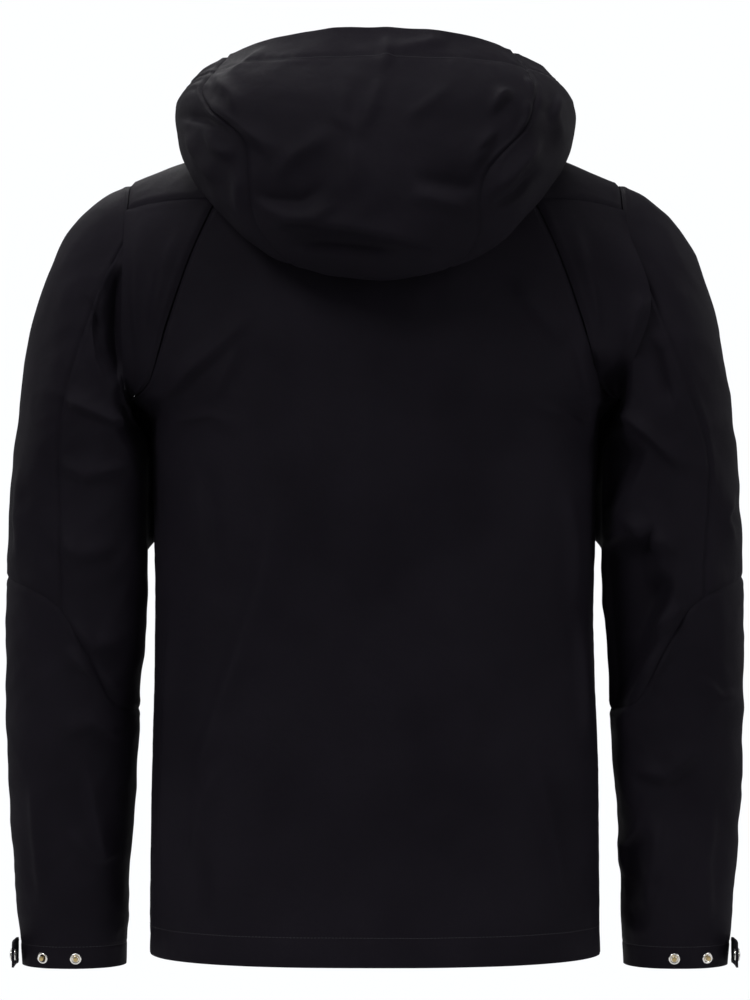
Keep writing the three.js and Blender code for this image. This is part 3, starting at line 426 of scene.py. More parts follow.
def stroke(p, points, width, height, steep=0.36, axes=(0, 2)):
    """A fold along a line drawn on the surface as seen from behind or in front.

    The fold is rounded on the right of the line's direction and falls off faster, by steep,
    on its left. It fades out towards both ends."""
    q = p[..., axes]
    line = np.array(points, float)
    lengths = np.linalg.norm(np.diff(line, axis=0), axis=1)
    starts = np.concatenate([[0], np.cumsum(lengths)])
    best = np.full(q.shape[:-1], 1e9)
    at = np.zeros(q.shape[:-1])
    sign = np.ones(q.shape[:-1])
    for a, b, length, start in zip(line[:-1], line[1:], lengths, starts):
        d = (b - a) / length
        r = q - a
        u = clamp(r @ d, 0, length)
        away = np.linalg.norm(r - u[..., None] * d, axis=-1)
        nearer = away < best
        best = np.where(nearer, away, best)
        at = np.where(nearer, start + u, at)
        sign = np.where(nearer, np.sign(d[0] * r[..., 1] - d[1] * r[..., 0]), sign)
    share = at / starts[-1]
    ends = smooth(share / 0.35) * smooth((1 - share) / 0.35)
    fade = 0.75 * ends + 0.25 * smooth(4 * share) * smooth(4 - 4 * share)
    scale = np.where(sign > 0, width * steep, width)
    return FOLD * height * np.exp(-((best / scale) ** 1.5)) * fade


def strokes(p, table, **options):
    total = np.zeros(p.shape[:-1])
    for points, width, height in table:
        total += stroke(p, points, width, height, **options)
    return total


BACK_FOLDS = [
    # from the armpits up towards the hood
    ([(197, -252), (168, -222), (140, -201), (107, -171)], 9, 4.2),
    ([(150, -256), (134, -225), (116, -189)], 8, 2.6),
    ([(206, -300), (182, -268), (150, -262), (112, -285)], 12, 2.4),
    ([(-119, -141), (-150, -172), (-176, -204)], 11, 3.0),
    ([(-180, -189), (-192, -240), (-198, -290)], 8, 3.2),
    ([(-206, -282), (-176, -262), (-142, -250)], 9, 2.6),
    # long soft folds down the back
    ([(86, -310), (106, -420), (138, -516), (158, -582), (165, -675)], 20, 4.5),
    ([(160, -300), (152, -350), (148, -410)], 12, -2.6),
    ([(188, -420), (192, -520), (194, -612), (199, -703)], 9, 3.2),
    ([(137, -570), (160, -625), (171, -690)], 9, 3.0),
    ([(158, -660), (157, -700), (159, -742)], 6, -3.6),
    ([(118, -467), (130, -500), (145, -540)], 10, 2.0),
    ([(-144, -570), (-156, -643), (-176, -722)], 13, 3.6),
    ([(-188, -440), (-192, -500), (-196, -575)], 8, 3.0),
    ([(-172, -320), (-184, -380), (-186, -450)], 12, 2.6),
    ([(-60, -360), (-82, -470), (-96, -590)], 34, 2.6),
    ([(20, -190), (6, -250), (12, -340)], 30, 2.0),
]
FRONT_FOLDS = [
    ([(200, -252), (160, -215), (112, -185)], 10, 4.2),
    ([(-202, -252), (-165, -222), (-120, -178)], 10, 4.4),
    ([(205, -290), (160, -282), (96, -306)], 12, 3.0),
    ([(-205, -288), (-168, -270), (-100, -290)], 12, 2.8),
    ([(60, -240), (80, -330), (76, -430)], 18, 3.2),
    ([(-64, -250), (-78, -340), (-70, -440)], 18, 3.0),
    ([(186, -400), (178, -500), (190, -620)], 13, 4.0),
    ([(-188, -410), (-180, -520), (-192, -640)], 13, 3.8),
    ([(60, -520), (52, -620), (66, -720)], 14, 3.4),
    ([(-58, -540), (-48, -640), (-62, -730)], 14, 3.2),
    ([(158, -560), (165, -640), (160, -730)], 11, 3.4),
    ([(-160, -580), (-168, -660), (-160, -740)], 11, 3.2),
    ([(120, -60), (100, -110), (70, -170)], 14, 3.0),
    ([(-118, -62), (-98, -112), (-72, -168)], 14, 3.0),
]
HOOD_FOLDS = [
    # the V in the middle and the creases that run out from it
    ([(-6, 40), (4, 12), (16, -19)], 6, 3.6),
    ([(27, 32), (34, -3), (17, -19)], 6, 3.2),
    ([(36, -6), (54, -23), (75, -36), (92, -60)], 9, 5.0),
    ([(-69, 30), (-46, 12), (-23, -6)], 6, 2.2),
    ([(17, -20), (22, -45), (18, -72)], 12, 2.2),
    # the left side's cluster
    ([(157, 22), (143, 1), (117, -16), (99, -26), (90, -44)], 8, 6.0),
    ([(185, 10), (143, -3), (112, -20)], 6, -4.2),
    ([(153, -6), (144, -26), (134, -34), (120, -27)], 6, 4.4),
    ([(122, -48), (123, -66), (121, -88)], 6, 3.6),
    ([(172, -6), (160, -30), (140, -60)], 8, 3.4),
    ([(150, 44), (128, 20), (122, -4)], 8, 3.0),
    # waves across the lower part
    ([(114, -64), (91, -76), (64, -79), (42, -62)], 8, -4.2),
    ([(106, -78), (80, -91), (52, -90), (30, -78)], 9, 3.8),
    ([(-29, -57), (-61, -62), (-87, -66), (-94, -80)], 8, -4.6),
    ([(-26, -72), (-54, -78), (-92, -86)], 8, 4.2),
    ([(106, -100), (65, -94), (18, -101), (-35, -111), (-77, -118)], 8, 5.2),
    ([(82, -113), (30, -116), (-24, -121)], 9, -5.0),
    # the right side's cluster
    ([(-103, 2), (-113, 19), (-127, 22)], 5, 4.6),
    ([(-134, 18), (-136, 0), (-127, -12)], 6, 5.2),
    ([(-135, 44), (-143, 24), (-146, 6)], 6, 4.4),
    ([(-92, -49), (-96, -24), (-110, -12)], 7, 4.4),
    ([(-96, -72), (-116, -60), (-140, -34), (-150, -14)], 9, 5.4),
    ([(-100, -84), (-126, -70), (-150, -44)], 6, -4.4),
    ([(-168, 30), (-160, 6), (-166, -20)], 7, 4.0),
    # on the brim
    ([(-8, 80), (-9, 58), (-2, 40)], 6, 3.0),
    ([(-12, 62), (-44, 68), (-70, 76)], 6, 2.0),
    ([(98, 72), (120, 52), (136, 40)], 7, 2.2),
]
SLEEVE_FOLDS = {
    # folds on the back of each sleeve, as the wearer's left (1) and right (-1)
    1: [
        ([(300, -236), (276, -252), (238, -268), (218, -272)], 9, 5.4),
        ([(226, -206), (246, -190), (268, -150)], 10, -5.0),
        ([(300, -306), (268, -318), (222, -308)], 10, 4.2),
        ([(306, -372), (276, -392), (232, -384)], 11, 4.0),
        ([(288, -452), (262, -476), (228, -470)], 9, 4.6),
        ([(292, -480), (262, -502), (230, -526)], 8, 5.6),
        ([(300, -560), (262, -548), (232, -566)], 11, 4.2),
        ([(270, -580), (262, -640), (252, -690)], 12, 3.6),
        ([(322, -590), (318, -660), (314, -730)], 12, 2.8),
        ([(290, -650), (258, -676), (238, -672)], 10, 3.2),
        ([(328, -300), (334, -350), (332, -400)], 8, 2.4),
    ],
    -1: [
        ([(290, -318), (262, -292), (232, -262), (216, -258)], 9, 6.4),
        ([(246, -186), (262, -206), (276, -260)], 10, -4.8),
        ([(284, -394), (254, -376), (224, -356)], 8, 6.6),
        ([(290, -436), (262, -462), (234, -490)], 8, 6.2),
        ([(280, -468), (254, -508), (227, -553)], 9, 6.4),
        ([(306, -570), (270, -600), (236, -592)], 11, 4.4),
        ([(272, -620), (262, -680), (256, -740)], 11, 3.8),
        ([(318, -610), (312, -680), (316, -745)], 12, 2.8),
        ([(300, -500), (322, -524), (344, -520)], 9, 3.0),
        ([(338, -330), (326, -356), (338, -384)], 6, 2.8),
        ([(252, -640), (236, -668), (238, -700)], 8, 4.0),
    ],
}
SLEEVE_FRONT_FOLDS = [
    ([(320, -240), (280, -262), (226, -268)], 11, 4.6),
    ([(316, -340), (270, -352), (222, -330)], 11, 5.2),
    ([(330, -420), (284, -436), (228, -408)], 10, 6.4),
    ([(334, -462), (288, -484), (232, -462)], 9, 6.8),
    ([(336, -506), (290, -530), (236, -520)], 10, 6.2),
    ([(330, -570), (284, -588), (240, -576)], 12, 4.6),
    ([(316, -620), (300, -680), (306, -740)], 13, 3.4),
]


def inside(q, corners):
    """Distance of points on a plane to a polygon's border, positive inside it."""
    corners = np.array(corners, float)
    away = np.full(q.shape[:-1], 1e9)
    odd = np.zeros(q.shape[:-1], bool)
    for a, b in zip(corners, np.roll(corners, -1, axis=0)):
        d = b - a
        r = q - a
        u = clamp((r @ d) / (d @ d))
        away = np.minimum(away, np.linalg.norm(r - u[..., None] * d, axis=-1))
        crosses = (a[1] > q[..., 1]) != (b[1] > q[..., 1])
        at = a[0] + (q[..., 1] - a[1]) * d[0] / (d[1] if d[1] else 1e-9)
        odd ^= crosses & (q[..., 0] < at)
    return np.where(odd, away, -away)


# Where cloth is tucked in deep beneath the folds at the back, as (x, z) borders, with how deep
# it goes and over what width it goes in. x counts outwards on either arm.
TUCKED = {
    1: [
        (
            [
                (231, -251), (226, -256), (218, -259), (211, -258), (208, -249), (196, -246),
                (200, -270), (202, -300), (199, -340), (196, -372), (206, -366), (216, -330),
                (228, -292), (238, -276), (240, -262), (239, -240), (233, -228),
            ],
            30,
            15,
        ),
        (
            [
                (258, -180), (253, -146), (244, -128), (226, -124), (222, -216), (236, -236),
                (247, -228), (256, -210),
            ],
            19,
            22,
        ),
    ],
    -1: [
        (
            [
                (192, -203), (202, -208), (216, -211), (229, -208), (236, -214), (236, -230),
                (233, -273), (251.5, -298), (225, -353), (227, -364), (219, -377), (258, -371),
                (262, -382), (262, -406), (276, -418), (278, -424), (272, -443), (264, -465),
                (252, -505), (233, -547), (222, -560), (206, -560), (198, -400), (200, -300),
                (201, -250),
            ],
            30,
            12,
        ),
        (
            [
                (220, -575), (234, -622), (246, -648), (262, -656), (268, -700), (254, -746),
                (230, -742), (214, -640),
            ],
            11,
            20,
        ),
    ],
}


def tuck_in(p, side, middle):
    """Presses the tucked places of one side into the back of a surface, x outwards."""
    shift = np.zeros(p.shape[:-1])
    for corners, deep, soft in TUCKED[side]:
        d = inside(p[..., (0, 2)], corners)
        room = np.maximum(0, 0.82 * (p[..., 1] - middle))
        shift -= np.minimum(deep, room) * smooth(d / soft)
        shift += 2.2 * np.where(d < 0, np.exp(-((d / 7) ** 2)), 0) * smooth(room / 20)
    shift = soften(shift, 5)
    return p + pack(0, shift, 0)


def sleeve_middle(z):
    return np.interp(-z, [43, 300, 430, 600, 782], [9, 1, -5, -17, -34])


def press_to_body(p):
    """The inside of the upper sleeve lies against the body, just in front of its side."""
    x, y, z = p[..., 0], p[..., 1], p[..., 2]
    share = np.exp(-(((y + 33) / 15) ** 2)) * smooth((-z - 244) / 9) * smooth((z + 394) / 24)
    p = p.copy()
    p[..., 0] = mix(x, np.minimum(x, 205.5), share * smooth((252 - x) / 22))
    return p


def back_field(p):
    d = 1.35 * strokes(p, BACK_FOLDS)
    d += 3.0 * creases(p, (130, 200, 260), 1) + 1.5 * creases(p, (60, 90, 120), 2)
    d += 0.5 * noise(p, (24, 24, 40), 3)
    return d * smooth((np.abs(p[..., 2] + 800)) / 60)


def front_field(p):
    x = np.abs(p[..., 0])
    d = strokes(p, FRONT_FOLDS)
    d += 3.2 * creases(p, (110, 200, 240), 4) + 1.6 * creases(p, (55, 90, 110), 5)
    d += 0.5 * noise(p, (24, 24, 40), 6)
    beside_zip = smooth((x - ZIP_GAP - 1) / 26)
    # the cloth lies flat along the pocket's zip, which leans from the low outer to the high inner end
    low, high = node_box("pocket_tape_left")
    zip_x = np.interp(p[..., 2], [low[2], high[2]], [high[0] - 12, low[0] + 12])
    along = smooth(4.2 * bump(p[..., 2], (low[2] + high[2]) / 2, 190))
    near = smooth(1.8 - np.abs(x - zip_x) / 20) * along
    return d * beside_zip * (1 - near) - 0.8 * near


def hood_field(p):
    x, y, z = p[..., 0], p[..., 1], p[..., 2]
    behind = smooth((y - 30) / 60)
    d = strokes(p, HOOD_FOLDS) * behind * smooth((z + 141) / 26)
    d += 3.0 * creases(p, (80, 80, 60), 7) + 1.6 * creases(p, (36, 40, 30), 8)
    d += 0.5 * noise(p, 17, 9)
    gathers = np.sin(x * 0.62 + y * 0.35) * bump(x, 158, 34) * bump(z, 50, 34)
    return d + 1.5 * gathers


def sleeve_field(p, side):
    """p is on the left sleeve; side picks which arm's folds are pressed into it."""
    x, y, z = p[..., 0], p[..., 1], p[..., 2]
    back = smooth((y - sleeve_middle(z) + 14) / 28)
    d = strokes(p, SLEEVE_FOLDS[side]) * back
    d += strokes(p, SLEEVE_FRONT_FOLDS) * (1 - back)
    shifted = p + (0, 0, 300 * (side < 0))
    diagonal = shifted + pack(0, 0, 0.5 * x)
    d += 3.4 * creases(diagonal, (90, 90, 60), 10) + 1.8 * creases(diagonal, (44, 44, 30), 11)
    d += 0.5 * noise(shifted, 18, 12)
    at_cuff = smooth((z - CUFF_Z) / 60)
    at_ring = smooth((x - ARM_X + 12 + clamp(-z - 235, 0, 60)) / 40)
    return d * (0.25 + 0.75 * at_cuff) * at_ring


# ---------------------------------------------------------------- materials
def shader(name):
    material = bpy.data.materials.new(name)
    material.use_nodes = True
    tree = material.node_tree
    tree.nodes.clear()
    out = tree.nodes.new("ShaderNodeOutputMaterial")
    bsdf = tree.nodes.new("ShaderNodeBsdfPrincipled")
    tree.links.new(bsdf.outputs[0], out.inputs[0])
    return material, tree, bsdf


def math_node(tree, operation, a, b=None, c=None):
    node = tree.nodes.new("ShaderNodeMath")
    node.operation = operation
    for i, value in enumerate((a, b, c)):
        if value is None:
            continue
        if isinstance(value, (int, float)):
            node.inputs[i].default_value = value
        else:
            tree.links.new(value, node.inputs[i])
    return node.outputs[0]


def times(tree, a, b):
    return math_node(tree, "MULTIPLY", a, b)


def plus(tree, a, b):
    return math_node(tree, "ADD", a, b)


def noise_node(tree, place, scale, detail, roughness=0.5):
    node = tree.nodes.new("ShaderNodeTexNoise")
    node.inputs["Scale"].default_value = scale
    node.inputs["Detail"].default_value = detail
    node.inputs["Roughness"].default_value = roughness
    tree.links.new(place, node.inputs["Vector"])
    return node.outputs[0]


def bump_node(tree, height, strength, distance, over=None):
    node = tree.nodes.new("ShaderNodeBump")
    node.inputs["Strength"].default_value = strength
    node.inputs["Distance"].default_value = distance
    tree.links.new(height, node.inputs["Height"])
    if over:
        tree.links.new(over, node.inputs["Normal"])
    return node.outputs[0]


def weave_node(tree, uv, thread):
    """Threads crossing over and under each other, -1 to 1, thread metres apart."""
    place = tree.nodes.new("ShaderNodeMapping")
    place.inputs["Scale"].default_value = (1 / thread,) * 3
    apart = tree.nodes.new("ShaderNodeSeparateXYZ")
    tree.links.new(uv, place.inputs["Vector"])
    tree.links.new(place.outputs[0], apart.inputs[0])
    warp = math_node(tree, "SINE", times(tree, apart.outputs[0], 2 * math.pi))
    weft = math_node(tree, "SINE", times(tree, apart.outputs[1], 2 * math.pi))
    return times(tree, warp, weft)


def taped(tree, colour, roughness, tape):
    """Lays smooth seam tape along the seams, 10 mm wide on each side."""
    edge = tree.nodes.new("ShaderNodeAttribute")
    edge.attribute_name = "edge"
    on_tape = math_node(tree, "LESS_THAN", edge.outputs["Fac"], 0.010)
    blend = tree.nodes.new("ShaderNodeMix")
    blend.data_type = "RGBA"
    tree.links.new(on_tape, blend.inputs["Factor"])
    tree.links.new(colour, blend.inputs[6])
    blend.inputs[7].default_value = (*tape, 1)
    smoother = math_node(tree, "SUBTRACT", roughness, times(tree, on_tape, 0.25))
    return blend.outputs[2], smoother


def cloth_material(name, dark, light, rough, sheen, thread, weave, grain, crumple, tape=None):
    """A woven cloth. UVs are in metres along the cloth, and 'edge' is the distance to a seam.

    thread is the weave's pitch in millimetres; weave, grain and crumple are how strongly the
    threads, their fuzz and the small creases stand out."""
    material, tree, bsdf = shader(name)
    link = tree.links.new
    place = tree.nodes.new("ShaderNodeTexCoord")
    over = weave_node(tree, place.outputs["UV"], thread * MM)
    broad = noise_node(tree, place.outputs["Object"], 9, 5)
    fine = noise_node(tree, place.outputs["Object"], 900, 3)
    small = noise_node(tree, place.outputs["Object"], 85, 4, 0.55)
    ramp = tree.nodes.new("ShaderNodeValToRGB")
    for end, position, shade in zip(ramp.color_ramp.elements, (0.3, 0.72), (dark, light)):
        end.position = position
        end.color = (*shade, 1)
    tone = plus(tree, plus(tree, broad, times(tree, fine, 0.25)), -0.12)
    link(plus(tree, tone, times(tree, over, 0.07)), ramp.inputs[0])
    colour = ramp.outputs[0]
    roughness = plus(tree, times(tree, broad, 0.12), rough - 0.06)
    if tape:
        colour, roughness = taped(tree, colour, roughness, tape)
    link(colour, bsdf.inputs["Base Color"])
    link(roughness, bsdf.inputs["Roughness"])
    bsdf.inputs["Sheen Weight"].default_value = sheen
    bsdf.inputs["Sheen Roughness"].default_value = 0.45
    bsdf.inputs["Sheen Tint"].default_value = (0.82, 0.8, 0.9, 1)
    bsdf.inputs["IOR"].default_value = 1.2
    bsdf.inputs["Specular IOR Level"].default_value = 0.15
    creased = bump_node(tree, small, crumple, 0.0016)
    threads = plus(tree, over, times(tree, fine, grain))
    link(bump_node(tree, threads, weave, 0.0002, over=creased), bsdf.inputs["Normal"])
    return material


def hard_material(name, colour, rough, metal=0.0, scratch=0.1, scale=400.0):
    """Metal or moulded plastic, with a fine grain in its gloss and its relief."""
    material, tree, bsdf = shader(name)
    link = tree.links.new
    place = tree.nodes.new("ShaderNodeTexCoord")
    grain = noise_node(tree, place.outputs["Object"], scale, 6)
    link(plus(tree, times(tree, grain, 0.2), rough - 0.1), bsdf.inputs["Roughness"])
    bsdf.inputs["Base Color"].default_value = (*colour, 1)
    bsdf.inputs["Metallic"].default_value = metal
    link(bump_node(tree, grain, scratch, 0.0002), bsdf.inputs["Normal"])
    return material


SHELL = cloth_material(
    "shell", (0.0064, 0.0054, 0.0080), (0.0100, 0.0086, 0.0122),
    rough=0.55, sheen=0.006, thread=0.7, weave=0.30, grain=0.9, crumple=0.35,
)
BACKER = cloth_material(
    "backer", (0.020, 0.020, 0.023), (0.030, 0.030, 0.034),
    rough=0.85, sheen=0.15, thread=0.9, weave=0.4, grain=0.8, crumple=0.25,
    tape=(0.010, 0.010, 0.011),
)
FACING = cloth_material(
    "facing", (0.010, 0.010, 0.012), (0.016, 0.016, 0.019),
    rough=0.7, sheen=0.12, thread=0.8, weave=0.3, grain=0.8, crumple=0.25,
)
FLEECE = cloth_material(
    "fleece", (0.012, 0.012, 0.014), (0.024, 0.024, 0.027),
    rough=0.95, sheen=0.5, thread=1.3, weave=0.6, grain=2.0, crumple=0.5,
)
TAPE = cloth_material(
    "tape", (0.006, 0.006, 0.007), (0.010, 0.010, 0.011),
    rough=0.5, sheen=0.05, thread=1.1, weave=0.5, grain=0.5, crumple=0.05,
)
THREAD = hard_material("thread", (0.016, 0.015, 0.019), 0.55, scratch=0.4, scale=3000)
COIL = hard_material("coil", (0.010, 0.010, 0.011), 0.38, scratch=0.1, scale=900)
PULLER = hard_material("puller", (0.016, 0.016, 0.018), 0.42, 0.3, scratch=0.15, scale=700)
NICKEL = hard_material("nickel", (0.80, 0.78, 0.74), 0.24, 1, scratch=0.08, scale=900)
BRASS = hard_material("brass", (0.50, 0.38, 0.18), 0.34, 1, scratch=0.10, scale=900)


# ---------------------------------------------------------------- making cloth
def grid_normals(p, tube, outward):
    """Unit normals of a grid of points (rows, columns, xyz), pointing outwards."""
    if tube:
        along = np.roll(p, -1, axis=1) - np.roll(p, 1, axis=1)
    else:
        along = np.gradient(p, axis=1)
    up = np.gradient(p, axis=0)
    return outward * unit(np.cross(along, up))


def edge_distance(p, tube, seams):
    """Distance of each grid point to the nearest border named in seams: l, r, b, t."""
    across = np.linalg.norm(np.diff(p, axis=1), axis=2)
    across = np.concatenate([np.zeros((len(p), 1)), np.cumsum(across, axis=1)], axis=1)
    up = np.linalg.norm(np.diff(p, axis=0), axis=2)
    up = np.concatenate([np.zeros((1, p.shape[1])), np.cumsum(up, axis=0)], axis=0)
    far = np.full(p.shape[:2], 1e3)
    if not tube:
        if "l" in seams:
            far = np.minimum(far, across)
        if "r" in seams:
            far = np.minimum(far, across[:, -1:] - across)
    if "b" in seams:
        far = np.minimum(far, up)
    if "t" in seams:
        far = np.minimum(far, up[-1:] - up)
    return far, across, up


def soften(d, passes=1):
    for _ in range(passes):
        d = d.copy()
        d[1:-1] = 0.5 * d[1:-1] + 0.25 * (d[:-2] + d[2:])
        d[:, 1:-1] = 0.5 * d[:, 1:-1] + 0.25 * (d[:, :-2] + d[:, 2:])
    return d


def placed(name, mesh):
    made = bpy.data.objects.new(name, mesh)
    bpy.context.collection.objects.link(made)
    return made


def sheet_faces(rows, columns, tube):
    """The faces of a grid, of the grid beneath it, and of the rim that joins the two."""
    layer = rows * columns
    index = np.arange(layer).reshape(rows, columns)
    wrap = np.concatenate([index, index[:, :1]], axis=1) if tube else index
    corners = wrap[:-1, :-1], wrap[:-1, 1:], wrap[1:, 1:], wrap[1:, :-1]
    over = np.stack(corners, axis=-1).reshape(-1, 4)
    under = over[:, ::-1] + layer
    if tube:
        rings = [wrap[0][::-1], wrap[-1]]
    else:
        rings = [[*index[0, ::-1], *index[1:, 0], *index[-1, 1:], *index[-2::-1, -1]]]
    rim = [(i, j, j + layer, i + layer) for ring in rings for i, j in zip(ring[:-1], ring[1:])]
    return over, under, np.array(rim)


TOPS = {}  # each cloth's outer face, as its grid of points and its normals


def cloth(name, p, outward, press, seams="lrbt", tube=False, thick=CLOTH, sunk=0.0,
          outer=SHELL, inner=None, ditch=1.5, relief=0.0):
    """Builds a closed sheet from a grid of points. press is the folds' height at each point.

    outward is 1 or -1, so that the grid's normals point out. seams names the grid's borders
    that are sewn: l, r, b, t. The sheet's outer face lies sunk below the grid."""
    n = grid_normals(p, tube, outward)
    far, across, up = edge_distance(p, tube, seams)
    folds = soften(press, 1) * (0.3 + 0.7 * smooth(far / 16))
    groove = -ditch * np.exp(-((far / 2.6) ** 2))
    ridge_beside = 0.5 * np.exp(-(((far - 5.5) / 3) ** 2))
    pucker = noise(p, 11, 21) * np.exp(-far / 9) * 1.1 * smooth(far / 2)
    d = folds + groove + ridge_beside + pucker + relief
    top = p + n * (d - sunk)[..., None]
    top_n = grid_normals(top, tube, outward)
    low = top - top_n * thick
    over, under, rim = (part[:, ::outward] for part in sheet_faces(*p.shape[:2], tube))
    faces = np.concatenate([over, under, rim])
    points = np.concatenate([top.reshape(-1, 3), low.reshape(-1, 3)]) * MM
    mesh = bpy.data.meshes.new(name)
    mesh.from_pydata(points.tolist(), [], faces.tolist())
    mesh.materials.append(outer)
    # the shell cloth shows its backer inside, and the other cloths are alike on both faces
    mesh.materials.append(inner or (BACKER if outer is SHELL else outer))
    slots = np.zeros(len(faces), int)
    slots[len(over) : len(over) + len(under)] = 1
    mesh.polygons.foreach_set("material_index", slots)
    uv = np.tile(np.stack([across, up], axis=-1).reshape(-1, 2) * MM, (2, 1))
    corners = np.empty(len(mesh.loops), int)
    mesh.loops.foreach_get("vertex_index", corners)
    mesh.uv_layers.new(name="UVMap").data.foreach_set("uv", uv[corners].ravel())
    edge = mesh.attributes.new("edge", "FLOAT", "POINT")
    edge.data.foreach_set("value", np.tile(far.ravel() * MM, 2).astype(np.float32))
    mesh.shade_smooth()
    mesh.set_sharp_from_angle(angle=math.radians(60))
    mesh.validate()
    mesh.update()
    TOPS[name] = (top, top_n)
    return placed(name, mesh)


def flip(p):
    """Mirrors a grid to the wearer's right; its columns keep their order."""
    return p * (-1, 1, 1)


def on_side(p, side):
    """A grid made for the wearer's left, on either side."""
    return p if side > 0 else flip(p)


def rows_at(*parts):
    """Joins evenly spaced runs: (from, to, step) each."""
    out = []
    for low, high, step in parts:
        count = max(1, int(round(abs(high - low) / step)))
        out.extend(np.linspace(low, high, count, endpoint=False))
    out.append(parts[-1][1])
    return np.array(out)


def keep(piece, body_name, node):
    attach(piece, body_name)
    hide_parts(node)
    return piece


def spread(a):
    """Evenly spaced shares from -1 to 1, drawn closer together towards the two ends."""
    return np.sin(a * math.pi / 2)


STEP = 4.0  # the usual spacing of the rows of a body panel
HEM_STITCH, CUFF_STITCH = 27.0, 21.0  # the stitch lines' heights above the hem and the cuff


def hem_pucker(p):
    """The hem's stitch line, pressed into the cloth, and the puckers that it draws up."""
    z = p[..., 2] - HEM_Z
    line = z - HEM_STITCH - 3 * np.abs(p[..., 0] / HEM_HALF) ** 3
    wave = noise(p, (9, 9, 40), 31) * 1.5 + noise(p, (26, 26, 60), 32) * 1.6
    return wave * np.exp(-(((z - 24) / 20) ** 2)) - 0.7 * np.exp(-((line / 1.6) ** 2))


def back_panel():
    rows_z = rows_at((HEM_Z, -268, STEP), (-268, -222, 1.6), (-222, RAGLAN_TOP[1], STEP))
    across = spread(np.linspace(-1, 1, 121))
    edge_x = np.where(rows_z < RING_LOW, half_width(rows_z), raglan(rows_z))
    below = body(across[None] * edge_x[:, None], rows_z[:, None], 1)
    # above the raglan seams' tops the panel narrows to the neck seam
    k = np.linspace(0, 1, 26)[1:, None]
    x = across[None] * mix(RAGLAN_TOP[0], NECK_HALF, k)
    low_turn = turn_at(across[None] * RAGLAN_TOP[0], RAGLAN_TOP[1], 1)
    high_turn = neck_turn(np.arcsin(np.abs(across)))[None]
    back = np.concatenate([below, body_turn(x, mix(low_turn, high_turn, k), 1)])
    left_half = tuck_in(back, 1, SIDE_Y)
    right_half = flip(tuck_in(flip(back), -1, SIDE_Y))
    back = np.where((back[..., 0] > 0)[..., None], left_half, right_half)
    from_sides, _, _ = edge_distance(back, False, "lr")
    raglan_ditch = -1.6 * np.exp(-((from_sides / 5) ** 2)) * smooth((back[..., 2] + 250) / 60)
    relief = hem_pucker(back) + raglan_ditch
    piece = cloth("back", back, -1, back_field(back), seams="lrt", relief=relief)
    keep(piece, "torso", "back_panel")


# how far out a gusset's outer edge lies over the sleeve, at what height, and over what half height
GUSSET_REACH = {1: (1.0, -180, 90), -1: (21.0, -158, 82)}
GUSSET_FOLDS = {
    1: [
        ([(176, -84), (196, -130), (206, -196)], 12, 2.6),
        ([(218, -80), (222, -150), (216, -226)], 7, 1.8),
    ],
    -1: [
        ([(252, -148), (240, -172), (230, -205)], 7, 5.5, 0.3),
        ([(180, -80), (200, -150), (206, -200)], 12, 2.8),
    ],
}


def back_gussets():
    """The wedges between the raglan seams and the sleeves."""
    rows_z = rows_at((RING_LOW + 0.6, -222, 1.6), (-222, -64, STEP))[:, None]
    s = np.linspace(0, 1, 27)[None]
    for side, name in SIDES:
        top_x = mix(RAGLAN_TOP[0], ARM_X, s)
        top_z = body_turn(top_x, back_yoke_turn(top_x), 1)[..., 2]
        z = rows_z + (top_z - rows_z[-1]) * smooth((rows_z + 110) / 48)
        p = body(mix(raglan(rows_z), ARM_X + 2.0, s), z, 1)
        reach, height, half = GUSSET_REACH[side]
        outwards = reach * bump(z, height, half)
        p[..., 0] += outwards * s**2.2
        p[..., 1] += (4.0 + 0.3 * outwards) * smooth((s - 0.5) / 0.5) * smooth((-z - 75) / 50)
        if side < 0:
            p = tuck_in(p, side, SIDE_Y)
        folds = sum(stroke(p, *fold) for fold in GUSSET_FOLDS[side])
        folds = folds + 1.4 * creases(p, (60, 80, 90), 13 + side)
        piece = cloth(f"gusset_{name}", on_side(p, side), -side, folds, seams="lbt")
        keep(piece, "torso", f"back_gusset_{name}")


def shoulder_yokes():
    s = np.linspace(0, 1, 33)[None]
    up = np.linspace(0, 1, 30)[:-1, None]  # from the back seam to the ridge
    down = np.linspace(0, 1, 26)[:, None]  # from the ridge to the front seam
    for side, name in SIDES:
        x = mix(mix(RAGLAN_TOP[0], NECK_HALF, up), ARM_X, s)
        behind = body_turn(x, mix(RAGLAN_TURN, BACK_YOKE_TURN, s) * (1 - up), 1)
        w = mix(math.pi / 2, YOKE_NECK_W, down)
        x = mix(NECK_HALF * np.sin(w), ARM_X, s)
        before = body_turn(x, mix(neck_turn(w), FRONT_YOKE_TURN * down, s), -1)
        p = np.concatenate([behind, before])
        folds = 2.2 * creases(p, (70, 60, 60), 16 + side)
        folds = folds + 1.2 * creases(p, (30, 26, 30), 18 + side)
        piece = cloth(f"yoke_{name}", on_side(p, side), -side, folds, seams="lrbt")
        keep(piece, "torso", f"shoulder_yoke_{name}")


back_panel()
back_gussets()
shoulder_yokes()


# ---------------------------------------------------------------- the fronts
def apply_modifiers(obj):
    graph = bpy.context.evaluated_depsgraph_get()
    fresh = bpy.data.meshes.new_from_object(obj.evaluated_get(graph))
    obj.modifiers.clear()
    obj.data = fresh


